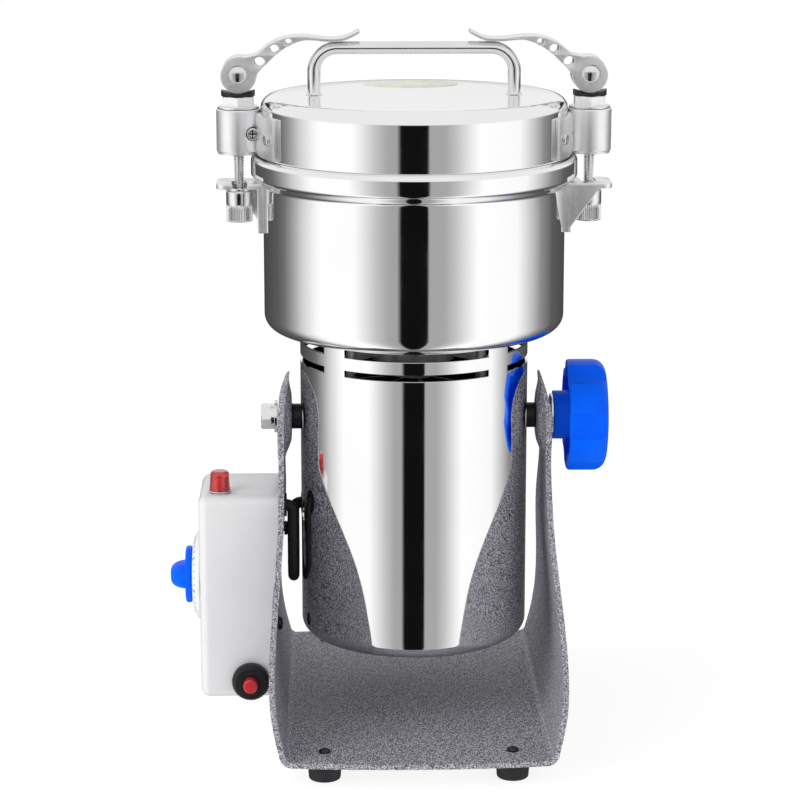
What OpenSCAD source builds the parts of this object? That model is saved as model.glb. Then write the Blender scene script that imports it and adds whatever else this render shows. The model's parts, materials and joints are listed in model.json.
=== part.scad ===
// Swing grinder for grain: a motor in a steel housing carries a grinding bowl and hangs between
// the arms of a bent sheet stand. Millimetres, +Z up, the feet stand on z = 0, and the viewer of
// the front looks along +Y. Lengths ending in _z are heights above the table.

/* [Stand] */
// Height of the rubber feet
foot_h = 11.5; // [8:0.5:15]
// Radius of the feet under the plate
foot_r = 10; // [8:0.5:12]
// Feet from the middle, sideways
foot_x = 50.5; // [44:0.5:56]
// Feet from the middle, front to back
foot_y = 96; // [86:1:100]
// Thickness of the stand's sheet
sheet_t = 3; // [2:0.25:4]
// Half of the stand's depth at its corners
stand_half_d = 112; // [104:1:118]
// How far the front and back edges bow out
stand_bow = 4; // [1:0.5:7]
// Radius of the bend between plate and arm
stand_bend = 7; // [5:0.5:9]
// How far the arms bulge out above the plate
arm_bulge = 4.6; // [2:0.2:7]
// How far the arms tuck in below the bulge
arm_tuck = 7.3; // [4:0.2:9]
// Height of the widest place of the arms
arm_wide_z = 54; // [46:1:62]
// Half width of an arm at its neck
neck_half = 24; // [20:0.5:26]
// Radius of the dished ear at the top of an arm
ear_r = 25; // [22:0.5:28]
// Thickness of the ear at its middle
ear_t = 7.7; // [6:0.1:9]
// Height of the tilt axis
pivot_z = 177; // [172:1:189]

/* [Tilt axis] */
// Radius of the bolt and the stud
pivot_r = 4; // [3:0.25:5]
// Length of the black bush between housing and ear
bush_len = 5; // [4:0.25:7]
// Radius of the black bush
bush_r = 7; // [6:0.25:9]
// Radius of the star knob
star_r = 31; // [26:0.5:34]
// Length of the star knob's head
star_head_len = 21.5; // [16:0.5:26]
// Length of the star knob's hub
star_hub_len = 7.5; // [6:0.5:12]
// Radius of the star knob's hub
star_hub_r = 13.5; // [11:0.5:15]
// Number of lobes on the star knob
star_lobes = 6; // [5:1:8]

/* [Motor housing] */
// Outer radius of the housing
housing_r = 63; // [60:0.5:66]
// Wall of the housing
housing_wall = 1.5; // [1:0.1:2]
// Housing below the tilt axis
housing_below = 123; // [118:1:128]
// Bowl floor above the tilt axis
bowl_above = 51; // [48:1:56]
// Radius of the bend at the housing's lower edge
housing_fillet = 8; // [5:0.5:10]
// Height of the lower air slots
low_slot_h = 3.7; // [3:0.1:4.5]
// Height of the upper air slots
high_slot_h = 4.5; // [3.5:0.1:5]
// Angle that each air slot spans
slot_span = 77; // [60:1:80]

/* [Motor] */
// Radius of the shaft in the motor
shaft_r = 7.5; // [6.5:0.25:8]
// Radius of the armature
armature_r = 28.6; // [26:0.2:30]
// Length of the laminated core
core_len = 50; // [44:1:54]
// Radius of the stator's back ring
stator_r = 49.5; // [47:0.5:49.5]
// Radius of the commutator
commutator_r = 15; // [13:0.5:17]
// Radius of the cooling fan
fan_r = 45.5; // [40:0.5:46.5]
// Number of fan blades
fan_blades = 9; // [7:1:12]
// Radius of the long motor bolts
motor_bolt_r = 2.5; // [2:0.1:3]

/* [Bowl] */
// Outer radius of the bowl
bowl_r = 82.5; // [80:0.5:86]
// Wall of the bowl and the lid
steel_wall = 1.5; // [1:0.1:2]
// Bowl floor to the step of its rim
bowl_straight = 79; // [74:1:90]
// Radius of the bend at the bowl's lower edge
bowl_fillet = 8.5; // [6:0.5:10]
// How far the rim stands out from the bowl
rim_out = 6.5; // [5.5:0.25:8]
// Height of the rim above its step
rim_h = 17; // [15:0.5:20]
// Radius of the lower blade
low_blade_r = 74; // [66:1:76]
// Radius of the middle blade
mid_blade_r = 66; // [58:1:72]
// Radius of the upper blade
top_blade_r = 56; // [50:1:66]

/* [Lid] */
// How far the lid's wall stands outside the bowl's
lid_step = 1; // [0.5:0.1:1.5]
// Height of the lid above the rim
lid_h = 32; // [28:0.5:38]
// Radius of the lid's shoulder
lid_shoulder = 7; // [5:0.5:9]
// Radius of the handle rod
handle_r = 3.5; // [3:0.1:4.5]
// Half of the distance between the handle's legs
handle_half = 54.3; // [44:0.5:56]
// Middle of the handle bar above the lid
handle_rise = 25.3; // [23:0.1:25.5]
// Radius of the handle's bends, to the middle of the rod
handle_bend = 12.5; // [8:0.5:14]

/* [Clamps] */
// Radius of the clamp barrel
barrel_r = 12; // [10:0.25:13]
// Height of the clamp barrel
barrel_h = 24.5; // [22:0.5:28]
// Radius of the threaded rod
rod_r = 3; // [2.5:0.25:3.5]
// Radius of the lever's eye
cam_r = 10.4; // [9.8:0.1:11]
// How far the rod drops when the lever opens
cam_drop = 1.6; // [0.8:0.1:2]
// Radius of the cross pin
pin_r = 5; // [4.5:0.1:5.5]
// Width of the lever
lever_w = 14; // [12:0.5:15]
// Reach of the lever from its pin
lever_len = 67; // [60:1:72]
// Radius of the knurled nut
nut_r = 7.25; // [6.5:0.05:7.5]
// Height of the knurled nut
nut_h = 17; // [12:0.5:19]
// Thickness of the ear plate
hook_t = 3; // [2.5:0.1:3.5]
// Width of the ear plate
hook_w = 25; // [22:0.5:28]

/* [Control box] */
// Width of the box outside the arm
box_w = 39.7; // [36:0.1:44]
// Half of the box's depth
box_half_d = 28; // [27:0.5:32]
// Height of the box
box_h = 116.5; // [108:0.5:122]
// Bottom of the box above the plate's underside
box_lift = 10; // [7:0.5:14]
// Wall of the box
box_wall = 2; // [1.5:0.1:2.5]
// Radius of the box's edges
box_round = 5; // [3:0.5:7]
// Height of the dial above the box's bottom
dial_up = 64.3; // [58:0.5:70]
// Radius of the dial plate
dial_r = 25; // [20:0.5:26]
// Radius of the timer knob
timer_knob_r = 16; // [13:0.5:18]
// Radius of the lamp
lamp_r = 5.8; // [5:0.1:6.5]
// Height of the lamp
lamp_h = 12; // [9:0.5:14]
// Radius of the ring nut on the breaker
breaker_ring_r = 10.5; // [9.5:0.1:11]
// Radius of the reset button
button_r = 4; // [3.5:0.1:4.5]
// Travel of the reset button
button_travel = 2.5; // [1.5:0.1:3]

/* [Motor lead] */
// Radius of the lead between stand and housing
lead_r = 3.2; // [2.6:0.1:3.4]
// Lowest point of the lead's loop below the tilt axis
lead_sag = 95; // [85:1:105]
// Half of the distance between the two legs of the loop
lead_half = 12; // [10:0.5:14]

/* [Hidden] */
$fn = 72;

// Overrun of every cut
cut = 1;
// Radial gap of a running fit
run_gap = 0.06;
// Gap between pieces that move past each other
move_gap = 0.3;
// Gap between a fixed piece and the one that holds it
seat_gap = 0.1;
// Angle of a quarter turn
quarter = 90;

// Heights that the pieces share
plate_z = foot_h;
plate_top_z = plate_z + sheet_t;
housing_z = pivot_z - housing_below;
bowl_z = pivot_z + bowl_above;
step_z = bowl_z + bowl_straight;
rim_top_z = step_z + rim_h;
lid_r = bowl_r + lid_step;
lid_top_z = rim_top_z + lid_h;
rim_r = bowl_r + rim_out;

// Arms, from the middle outwards
ear_proud = 0.4;
ear_in = housing_r + bush_len;
ear_out = ear_in + ear_t;
arm_wide = ear_out + arm_bulge - ear_proud;
arm_straight_share = 0.736;
arm_straight_z = plate_z + (pivot_z - plate_z) * arm_straight_share;
stand_corner = 10;
neck_z = pivot_z - ear_r;
arm_flare_power = 1.2;
ear_flat_w = 7;
ear_flat_r = pivot_r + ear_flat_w;
ear_edge = 1.2;
sheet_out = ear_out - ear_proud;
sheet_short = 6;
ear_dish = ear_t - sheet_t - 2 * ear_proud;

// Feet and their screws
foot_taper = 1.4;
foot_recess_r = 5.2;
foot_recess_h = 4.2;
foot_screw_r = 1.75;
foot_screw_head_r = 3.1;
foot_screw_head_h = 2;
foot_nut_r = 3.5;
foot_nut_h = 2.6;

// Control box
box_z = plate_z + box_lift;
box_top_z = box_z + box_h;
box_out = arm_wide + box_w;
box_fit = 0.2;
back_t = 2;
back_gap = 0.8;
back_out = arm_wide + back_gap + back_t;
boss_r = 5;
box_screw_r = 2;
box_screw_head_r = 4;
box_screw_head_h = 2.4;
box_head_gap = 0.3;
box_nut_r = 4.1;
box_nut_h = 3;
box_screw_low_share = 0.3;
box_screw_high_share = 0.78;
box_screw_low_z = box_z + box_h * box_screw_low_share;
box_screw_high_z = box_z + box_h * box_screw_high_share;

// Timer
dial_z = box_z + dial_up;
dial_t = 4.8;
dial_edge = 1.6;
timer_half = 20;
timer_deep = 22;
timer_shaft_r = 3;
timer_shaft_in = 18;
timer_hole_gap = 1;
timer_flange_t = 3.6;
timer_grip_h = 8.7;
timer_grip_half = 7.5;
timer_grip_crest = 3.6;
timer_tip = box_out + dial_t + move_gap + timer_flange_t + timer_grip_h;

// Lamp
lamp_off_x = 5.9;
lamp_off_y = 6.2;
lamp_x = -(box_out - lamp_r - lamp_off_x);
lamp_y = -(box_half_d - lamp_r - lamp_off_y);
lamp_flange_t = 1.4;
lamp_flange_out = 0.5;
lamp_taper = 0.7;
lamp_crown = 1.8;
lamp_socket_r = 4.8;
lamp_socket_len = 14;

// Breaker, button and spring
breaker_off = 9;
breaker_x = -(back_out + breaker_off);
breaker_z = box_z + breaker_ring_r;
breaker_ring_w = 3.5;
breaker_neck_r = breaker_ring_r - breaker_ring_w;
breaker_ring_t = 6.5;
breaker_block_half = 7;
breaker_block_deep = 24;
button_out = 6;
button_len = 14;
button_bore_deep = 21;
button_front_y = -(box_half_d + breaker_ring_t + button_out);
spring_wall = 1;

// Mains inlet
gland_x = -(back_out + box_out) / 2;
gland_up = 20;
gland_z = box_z + gland_up;
gland_bore_r = 4;
gland_r = 8;
gland_flange_t = 3;
gland_nose = 12;
gland_nose_r = 6.2;
gland_neck_r = 6;
gland_in = 8;

// Terminal block and wires
block_w = 10;
block_d = 26;
block_h = 12;
block_x = -(box_out - box_wall - box_round - block_w / 2);
block_y = 6;
wire_r = 1.2;

// Lead and grommets
lead_bend = 4.2;
lead_off = 2.1;
lead_x = (ear_in + housing_r) / 2 + lead_off;
lead_arm_below = 47.8;
lead_housing_below = 53;
lead_arm_z = pivot_z - lead_arm_below;
lead_housing_z = pivot_z - lead_housing_below;
lead_low_z = pivot_z - lead_sag + lead_r;
lead_inside = 8;
grommet_neck_w = 1.8;
grommet_flange_w = 3.4;
grommet_neck_r = lead_r + grommet_neck_w;
grommet_flange_r = lead_r + grommet_flange_w;
grommet_flange_t = 1.1;
grommet_gap = 0.15;
lead_box_in = 5;
lead_box_end = back_out + lead_box_in;

// Motor, from the bottom up
lip_r = 48;
cover_t = 2;
cover_up = 3.5;
cover_gap = 1.2;
cover_z = housing_z + housing_wall + cover_up;
cover_r = housing_r - housing_wall - cover_gap;
vent_r = 4;
vent_count = 12;
vent_at = lip_r - 2.5 * vent_r;
column_r = 5;
column_gap = 4;
column_at = housing_r - housing_wall - column_r - column_gap;
core_up = 70;
core_z = housing_z + core_up;
core_top_z = core_z + core_len;
end_turn = 12;
end_turn_in = 4;
low_bearing_up = 22;
low_bearing_z = housing_z + low_bearing_up;
low_bearing_od = 16;
low_bearing_id = 6;
low_bearing_w = 10;
high_bearing_od = 17.5;
high_bearing_w = 11;
high_bearing_below = 17;
high_bearing_z = bowl_z - high_bearing_below;
race_t = 3.2;
ball_gap = 0.08;
ball_count = 8;
hub_wall = 4.5;
arm_w = 9;
bracket_h = 14;
bracket_under = 3;
bracket_z = low_bearing_z - bracket_under;
brush_ring_in = 30;
brush_ring_out = 40;
top_plate_t = 2.5;
top_plate_gap = 0.2;
commutator_len = 16;
commutator_gap = 3;
commutator_z = core_z - end_turn - commutator_gap - commutator_len;
brush_w = 6;
brush_h = 8;
brush_len = 15;
brush_gap = 0.15;
brush_wall = 1.5;
brush_mid_z = commutator_z + commutator_len / 2;
brush_seat_z = brush_mid_z - brush_h / 2 - brush_wall;
air_gap = 0.6;
stator_bore_r = armature_r + air_gap;
stator_ring_t = 9.5;
pole_half = 50;
fan_gap = 4;
fan_z = core_top_z + end_turn + fan_gap;
fan_h = 11;
fan_disc_t = 2;
fan_hub_r = 13;
fan_blade_t = 1.6;
pad_r = 13;
pad_deep = 8;
pad_in = housing_r - housing_wall - pad_deep;
motor_bolt_head_r = 4.4;
motor_bolt_head_h = 3;
slot_low_below = 18;
slot_high_below = 7.5;
slot_low_z = bowl_z - slot_low_below;
slot_high_z = bowl_z - slot_high_below;

// Bowl, seal and blades
seal_r = 11;
seal_flange_r = 14;
seal_flange_t = 3;
bowl_screw_at = 34;
bowl_screw_r = 2.5;
bowl_screw_head_r = 4.6;
bowl_screw_head_h = 2.6;
spindle_r = 6;
blade_t = 2.5;
blade_root = 11;
blade_tip_share = 0.55;
blade_hub_r = 12;
spacer_h = 9;
blade_low_z = bowl_z + steel_wall + seal_flange_t + 1;
blade_mid_z = blade_low_z + blade_t + spacer_h;
blade_top_z = blade_mid_z + blade_t + spacer_h;
blade_nut_h = 9;
blade_nut_r = 10.5;
spindle_top_z = blade_top_z + blade_t + blade_nut_h + 2;

// Lid and gasket
lid_foot_up = 6.3;
lid_foot_z = step_z + lid_foot_up;
rim_rise = 7;
rim_curl = 3;
rim_lip_gap = 0.6;
gasket_gap = 0.45;
gasket_in = 1;

// Clamps, in the left clamp's place; the right one is the left one turned half round
clamp_x = lid_r + barrel_r;
barrel_z = rim_top_z + move_gap;
barrel_edge = 0.8;
collar_h = 1.2;
collar_in = 0.7;
barrel_top_z = barrel_z + barrel_h;
bore_gap = 0.3;
strap_t = 2.5;
strap_span = 56;
strap_z = rim_top_z + 1;
strap_h = 22;
strap_screw_angle = 23;
strap_screw_r = 1.75;
strap_screw_head_r = 3.3;
strap_screw_head_h = 1.8;
strap_screw_in = 3;
neck_half_w = 7.5;
neck_edge = 2;
barrel_screw_x = 8;
barrel_screw_r = 2;
barrel_screw_head_r = 3.65;
barrel_screw_head_h = 1.9;
barrel_seat_y = 8.6;
clamp_mid_z = strap_z + strap_h / 2;
cap_flange_h = 1.4;
cap_flange_in = 0.8;
cap_hex_r = 9.6;
cap_hex_h = 5.5;
cap_top_z = barrel_top_z + cap_flange_h + cap_hex_h;
seat_r = 9.2;
seat_h = 3.3;
seat_floor = 1.2;
seat_cradle_r = 22;
pin_z = cap_top_z + seat_floor + move_gap + cam_r;
pin_in = 0.1;
fork_gap = 0.5;
pin_half = lever_w / 2 - pin_in;
fork_half = rod_r + fork_gap;
fork_deep = cam_r + 2;
fork_turn = 120;
fork_way = [cos(270 - fork_turn), sin(270 - fork_turn)];
fork_side = [fork_way[1], -fork_way[0]];
neck_from = 66;
neck_to = 348;
cam_small_from = 150;
cam_small_to = 65;
rod_head = 2;
hook_top_z = step_z + 2;
hook_z = hook_top_z - hook_t;
hook_leg_h = 27;
hook_leg_t = 2.8;
hook_out = 12.3;
hook_corner = 5;
hook_slot_gap = 1;
hook_web_t = 2.5;
washer_r = 6.5;
washer_t = 1.6;
washer_z = hook_z - move_gap - washer_t;
nut_z = washer_z - nut_h;
nut_flutes = 24;
nut_flute_r = 0.5;
nut_slot_w = 2;
nut_slot_h = 8;
rod_tail = 0.5;
rod_foot_z = nut_z - rod_tail;

// Lever: its middle line from the pin to the tip and its half thickness there, for a lever 1 long
lever_line_shares = [[0, 0], [0.09, 0.05], [0.18, 0.1], [0.303, 0.205], [0.422, 0.268],
    [0.52, 0.304], [0.62, 0.3], [0.73, 0.288], [0.86, 0.305], [1, 0.362]];
lever_half_shares = [0.085, 0.083, 0.082, 0.077, 0.066, 0.043, 0.03, 0.019, 0.018, 0.012];
lever_hole_shares = [[0.185, 0.1, 0.046], [0.306, 0.207, 0.041], [0.425, 0.268, 0.033]];
lever_steps = 4;

// Star knob, along the tilt axis from the right ear outwards
knob_washer_r = 12;
knob_washer_t = 1.6;
knob_washer_x = ear_out + move_gap;
knob_x = knob_washer_x + knob_washer_t;
star_x = knob_x + star_hub_len;
knob_end = star_x + star_head_len;
star_scallop_r = 10;
star_scallop_out = 5.5;
star_scallop_at = star_r + star_scallop_out;
star_round = 7;
star_back_round = 1.5;
star_wall = 3.5;
stud_in = 16;
stud_gap = 1.5;
star_cavity_deep = 14;
star_core_r = star_hub_r - 1;

// Bolt at the left ear
bolt_washer_r = 9;
bolt_washer_t = 1.6;
spring_washer_r = 7;
spring_washer_t = 1.9;
bolt_head_r = 7.5;
bolt_head_h = 5.5;

// The whole stands with the middle of its box on the origin
axis_x = (timer_tip - knob_end) / 2;

// Colours
steel = [0.80, 0.81, 0.82];
grey_paint = [0.53, 0.55, 0.58];
box_grey = [0.78, 0.79, 0.79];
blue = [0.06, 0.33, 0.86];
black = [0.07, 0.07, 0.08];
red = [0.85, 0.08, 0.08];
copper = [0.72, 0.42, 0.22];
cast_grey = [0.66, 0.67, 0.69];

function arc_points(cx, cy, r, from, to, steps = 6) =
    [for (i = [0:steps]) let (a = from + (to - from) * i / steps) [cx + r * cos(a), cy + r * sin(a)]];
function turned(points) = [for (i = [len(points) - 1:-1:0]) points[i]];
function mirrored(points) = [for (p = points) [-p[0], p[1]]];
// Outer face of an arm at height z
function arm_x(z) =
    z < arm_wide_z ? arm_wide - arm_tuck * pow((arm_wide_z - z) / (arm_wide_z - plate_z), 2)
    : z < arm_straight_z ? sheet_out + arm_bulge * pow(cos(quarter * (z - arm_wide_z)
        / (arm_straight_z - arm_wide_z)), 2)
    : sheet_out;
// Half width of an arm at height z, seen from the side
function arm_half(z) = neck_half + (stand_half_d - neck_half)
    * pow(sin(quarter * min(1, max(0, (neck_z - z) / (neck_z - plate_top_z)))), arm_flare_power);
// A smooth line through hand-chosen points
function between(p, q, r, s, t) = 0.5 * ((2 * q) + (r - p) * t + (2 * p - 5 * q + 4 * r - s) * t * t
    + (3 * q - p - 3 * r + s) * t * t * t);
function smooth(list, steps) = let (last = len(list) - 1) [for (i = [0:last - 1], k = [0:steps])
    if (k < steps || i == last - 1)
    between(list[max(0, i - 1)], list[i], list[i + 1], list[min(last, i + 2)], k / steps)];
// Radius of the lever's cam in a direction: full under the pin, smaller towards the outer side
function cam_radius(a) =
    a >= 270 ? cam_r
    : a >= cam_small_from ? cam_r - cam_drop * (270 - a) / (270 - cam_small_from)
    : a >= cam_small_to ? cam_r - cam_drop * (a - cam_small_to) / (cam_small_from - cam_small_to)
    : cam_r;

module placed() translate([axis_x, 0, 0]) children();
module along_x() rotate([0, 90, 0]) children();
module along_y() rotate([-90, 0, 0]) children();
module at_clamp(right) rotate([0, 0, right ? 180 : 0]) children();
module both_clamps() for (right = [false, true]) at_clamp(right) children();
module at_columns() for (i = [0:3]) rotate([0, 0, 45 + quarter * i]) translate([column_at, 0, 0]) children();
module tube(r_out, r_in, h) difference() {
    cylinder(r = r_out, h = h);
    translate([0, 0, -cut]) cylinder(r = r_in, h = h + 2 * cut);
}
// A disc with both edges rounded
module puck(r, h, edge) rotate_extrude() polygon(concat([[0, 0]],
    arc_points(r - edge, edge, edge, -quarter, 0), arc_points(r - edge, h - edge, edge, 0, quarter), [[0, h]]));
// A rectangle with rounded corners, from its middle
module round_rect(w, h, r) union() {
    square([w, h - 2 * r], center = true);
    square([w - 2 * r, h], center = true);
    for (x = [-1, 1], y = [-1, 1]) translate([x * (w / 2 - r), y * (h / 2 - r)]) circle(r = r);
}
// A pan-head screw with a cross recess: its head stands on z = 0 and its shank hangs below
module pan_screw(head_r, head_h, shank_r, length) {
    difference() {
        rotate_extrude() polygon(concat([[0, 0], [head_r, 0]],
            arc_points(head_r - head_h * 0.7, head_h * 0.3, head_h * 0.7, 0, quarter), [[0, head_h]]));
        for (a = [0, 90]) rotate([0, 0, a]) translate([-head_r * 0.55, -head_r * 0.1, head_h * 0.5])
            cube([head_r * 1.1, head_r * 0.2, head_h]);
    }
    translate([0, 0, -length]) cylinder(r = shank_r, h = length);
}

// Stand
function sheet_side() = let (
        bend_x = arm_x(plate_z + stand_bend) - stand_bend,
        bend_z = plate_z + stand_bend,
        rise = pivot_z - sheet_short - bend_z)
    concat(
        arc_points(bend_x, bend_z, stand_bend, -quarter, 0),
        [for (i = [1:16]) let (z = bend_z + rise * i / 16) [arm_x(z), z]],
        [for (i = [16:-1:1]) let (z = bend_z + rise * i / 16) [arm_x(z) - sheet_t, z]],
        arc_points(bend_x, bend_z, stand_bend - sheet_t, 0, -quarter));
function sheet_section() = let (side = sheet_side()) concat(side, turned(mirrored(side)));
function side_outline() = let (
        rise = neck_z - plate_top_z,
        right = concat(
            [[stand_half_d + stand_bow + cut, plate_z - cut], [stand_half_d + stand_bow + cut, plate_top_z]],
            [for (i = [0:18]) let (z = plate_top_z + rise * i / 18) [arm_half(z), z]],
            [[neck_half, pivot_z + cut]]))
    concat(right, turned(mirrored(right)));
module plan_form() {
    corner = stand_corner;
    flat_x = arm_wide + cut - corner;
    polygon(concat(
        [for (i = [-8:8]) let (x = flat_x * i / 8) [x, stand_half_d + stand_bow * (1 - pow(x / flat_x, 2))]],
        arc_points(flat_x, stand_half_d - corner, corner, quarter, 0),
        arc_points(flat_x, corner - stand_half_d, corner, 0, -quarter),
        [for (i = [8:-1:-8]) let (x = flat_x * i / 8) [x, -stand_half_d - stand_bow * (1 - pow(x / flat_x, 2))]],
        arc_points(-flat_x, corner - stand_half_d, corner, -quarter, -180),
        arc_points(-flat_x, stand_half_d - corner, corner, 180, quarter)));
}
module ear() along_x() rotate_extrude() polygon(concat(
    [[0, ear_in], [ear_flat_r, ear_in]],
    [for (i = [1:6]) [ear_flat_r + (ear_r - ear_flat_r) * i / 6, ear_in + ear_dish * pow(sin(quarter * i / 6), 2)]],
    arc_points(ear_r - ear_edge, ear_out - ear_edge, ear_edge, 0, quarter, 3),
    [[0, ear_out]]));
module at_feet() for (x = [-1, 1], y = [-1, 1]) translate([x * foot_x, y * foot_y, 0]) children();
module at_box_screws() for (z = [box_screw_low_z, box_screw_high_z]) translate([0, 0, z]) children();
module base_yoke() placed() color(grey_paint) difference() {
    union() {
        intersection() {
            translate([0, stand_half_d + stand_bow + cut, 0]) rotate([90, 0, 0])
                linear_extrude(2 * (stand_half_d + stand_bow + cut)) polygon(sheet_section());
            translate([-arm_wide - cut, 0, 0]) rotate([90, 0, 90])
                linear_extrude(2 * (arm_wide + cut)) polygon(side_outline());
            translate([0, 0, plate_z - cut]) linear_extrude(pivot_z) plan_form();
        }
        translate([0, 0, pivot_z]) ear();
        rotate([0, 0, 180]) translate([0, 0, pivot_z]) ear();
    }
    translate([-ear_out - cut, 0, pivot_z]) along_x() cylinder(r = pivot_r + run_gap, h = 2 * (ear_out + cut));
    at_feet() translate([0, 0, plate_z - cut]) cylinder(r = foot_screw_r, h = sheet_t + 2 * cut);
    at_box_screws() translate([-arm_wide - cut, 0, 0]) along_x() cylinder(r = box_screw_r, h = arm_bulge + arm_tuck + 2 * sheet_t);
    translate([-arm_wide - cut, -lead_half, lead_arm_z]) along_x()
        cylinder(r = grommet_neck_r, h = arm_bulge + arm_tuck + 2 * sheet_t);
}
module rubber_feet() placed() color(black) at_feet() difference() {
    rotate_extrude() polygon(concat([[0, 0]],
        arc_points(foot_r - foot_taper - ear_edge, ear_edge, ear_edge, -quarter, 0, 4),
        [[foot_r, foot_h], [0, foot_h]]));
    translate([0, 0, -cut]) cylinder(r = foot_recess_r, h = foot_recess_h + cut);
    translate([0, 0, -cut]) cylinder(r = foot_screw_r, h = foot_h + 2 * cut);
}
module stand_screws() placed() color(steel) {
    at_feet() {
        translate([0, 0, plate_top_z]) pan_screw(foot_screw_head_r, foot_screw_head_h, foot_screw_r,
            plate_top_z - foot_recess_h + foot_nut_h);
        translate([0, 0, foot_recess_h - foot_nut_h]) difference() {
            cylinder(r = foot_nut_r, h = foot_nut_h, $fn = 6);
            translate([0, 0, -cut]) cylinder(r = foot_screw_r, h = foot_nut_h + 2 * cut);
        }
    }
    for (z = [box_screw_low_z, box_screw_high_z]) {
        head_x = arm_x(z) - sheet_t - box_head_gap;
        translate([-head_x, 0, z]) along_x() pan_screw(box_screw_head_r, box_screw_head_h, box_screw_r,
            back_out + box_nut_h - head_x);
    }
    at_box_screws() translate([-back_out - box_nut_h, 0, 0]) along_x() difference() {
        cylinder(r = box_nut_r, h = box_nut_h, $fn = 6);
        translate([0, 0, -cut]) cylinder(r = box_screw_r, h = box_nut_h + 2 * cut);
    }
}

// Control box
module arm_side(gap) translate([0, box_half_d + cut, 0]) rotate([90, 0, 0])
    linear_extrude(2 * (box_half_d + cut)) polygon(concat(
        [for (i = [0:20]) let (z = plate_z + (box_top_z + cut - plate_z) * i / 20) [-arm_x(z) - gap, z]],
        [[0, box_top_z + cut], [0, plate_z]]));
module box_form(inset) {
    w = box_out - inset;
    d = 2 * (box_half_d - inset);
    h = box_h - 2 * inset;
    r = box_round - inset / 2;
    mid_z = box_z + box_h / 2;
    intersection() {
        translate([-w, 0, mid_z]) along_x() linear_extrude(w) round_rect(h, d, r);
        translate([0, d / 2, mid_z]) rotate([90, 0, 0]) linear_extrude(d) round_rect(2 * w, h, r);
        translate([0, 0, mid_z - h / 2]) linear_extrude(h) round_rect(2 * w, d, r);
    }
}
module control_box() placed() color(box_grey) difference() {
    box_form(0);
    box_form(box_wall);
    arm_side(box_fit);
    translate([lamp_x, lamp_y, box_top_z - box_wall - cut]) cylinder(r = lamp_socket_r, h = box_wall + 2 * cut);
    translate([-box_out - cut, 0, dial_z]) along_x() cylinder(r = timer_shaft_r + timer_hole_gap, h = box_wall + 2 * cut);
    translate([breaker_x, -box_half_d - cut, breaker_z]) along_y() cylinder(r = breaker_neck_r, h = box_wall + 2 * cut);
    translate([gland_x, box_half_d - box_wall - cut, gland_z]) along_y() cylinder(r = gland_neck_r, h = box_wall + 2 * cut);
}
module box_back() placed() color(steel) difference() {
    union() {
        translate([-back_out, 0, box_z + box_h / 2]) along_x() linear_extrude(back_t)
            round_rect(box_h - 2 * (box_wall + seat_gap), 2 * (box_half_d - box_wall - seat_gap), box_round - box_wall / 2);
        at_box_screws() translate([-back_out + back_t - seat_gap, 0, 0]) along_x() cylinder(r = boss_r, h = arm_bulge + back_gap);
    }
    arm_side(seat_gap);
    at_box_screws() translate([-back_out - cut, 0, 0]) along_x() cylinder(r = box_screw_r, h = back_t + arm_bulge + 2 * cut);
    translate([-back_out - cut, -lead_half, lead_arm_z]) along_x() cylinder(r = lead_r, h = back_t + 2 * cut);
}
module timer_body() placed() color(box_grey) difference() {
    translate([-box_out + box_wall, 0, dial_z]) along_x() linear_extrude(timer_deep)
        round_rect(2 * timer_half, 2 * timer_half, box_round);
    translate([-box_out, 0, dial_z]) along_x() cylinder(r = timer_shaft_r + run_gap, h = box_wall + timer_shaft_in);
}
module dial_plate() placed() color("white") translate([-box_out, 0, dial_z]) rotate([0, -90, 0]) difference() {
    rotate_extrude() polygon(concat([[0, 0], [dial_r, 0], [dial_r, dial_edge]],
        [for (i = [1:6]) [dial_r - (dial_r - timer_knob_r) * i / 6, dial_edge + (dial_t - dial_edge) * sin(quarter * i / 6)]],
        [[0, dial_t]]));
    translate([0, 0, -cut]) cylinder(r = timer_shaft_r + timer_hole_gap, h = dial_t + 2 * cut);
}
module timer_knob() placed() color(blue) translate([-box_out - dial_t - move_gap, 0, dial_z]) rotate([0, -90, 0]) {
    union() {
        puck(timer_knob_r, timer_flange_t, ear_edge);
        intersection() {
            translate([0, timer_knob_r, timer_flange_t - seat_gap]) rotate([90, 0, 0]) linear_extrude(2 * timer_knob_r)
                polygon(concat([[timer_grip_half, 0]],
                    [for (i = [0:8]) let (a = 180 * i / 8)
                        [(timer_grip_crest + (timer_grip_half - timer_grip_crest) * pow(cos(a), 2)) * cos(a),
                            timer_grip_h * (0.75 + 0.25 * sin(a)) * (i == 0 || i == 8 ? 0 : 1)]],
                    [[-timer_grip_half, 0]]));
            puck(timer_knob_r - ear_edge, timer_flange_t + timer_grip_h, timer_grip_h / 2);
        }
        translate([0, 0, -dial_t - move_gap - box_wall - timer_shaft_in + seat_gap])
            cylinder(r = timer_shaft_r, h = dial_t + move_gap + box_wall + timer_shaft_in);
    }
}
module indicator_lamp() placed() translate([lamp_x, lamp_y, box_top_z]) {
    color(red) rotate_extrude() polygon(concat(
        [[0, 0], [lamp_r + lamp_flange_out, 0], [lamp_r + lamp_flange_out, lamp_flange_t], [lamp_r, lamp_flange_t]],
        arc_points(lamp_r - lamp_taper - lamp_crown, lamp_h - lamp_crown, lamp_crown, 0, quarter), [[0, lamp_h]]));
    color(black) translate([0, 0, -lamp_socket_len]) cylinder(r = lamp_socket_r, h = lamp_socket_len);
}
module at_breaker() translate([breaker_x, 0, breaker_z]) children();
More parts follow.
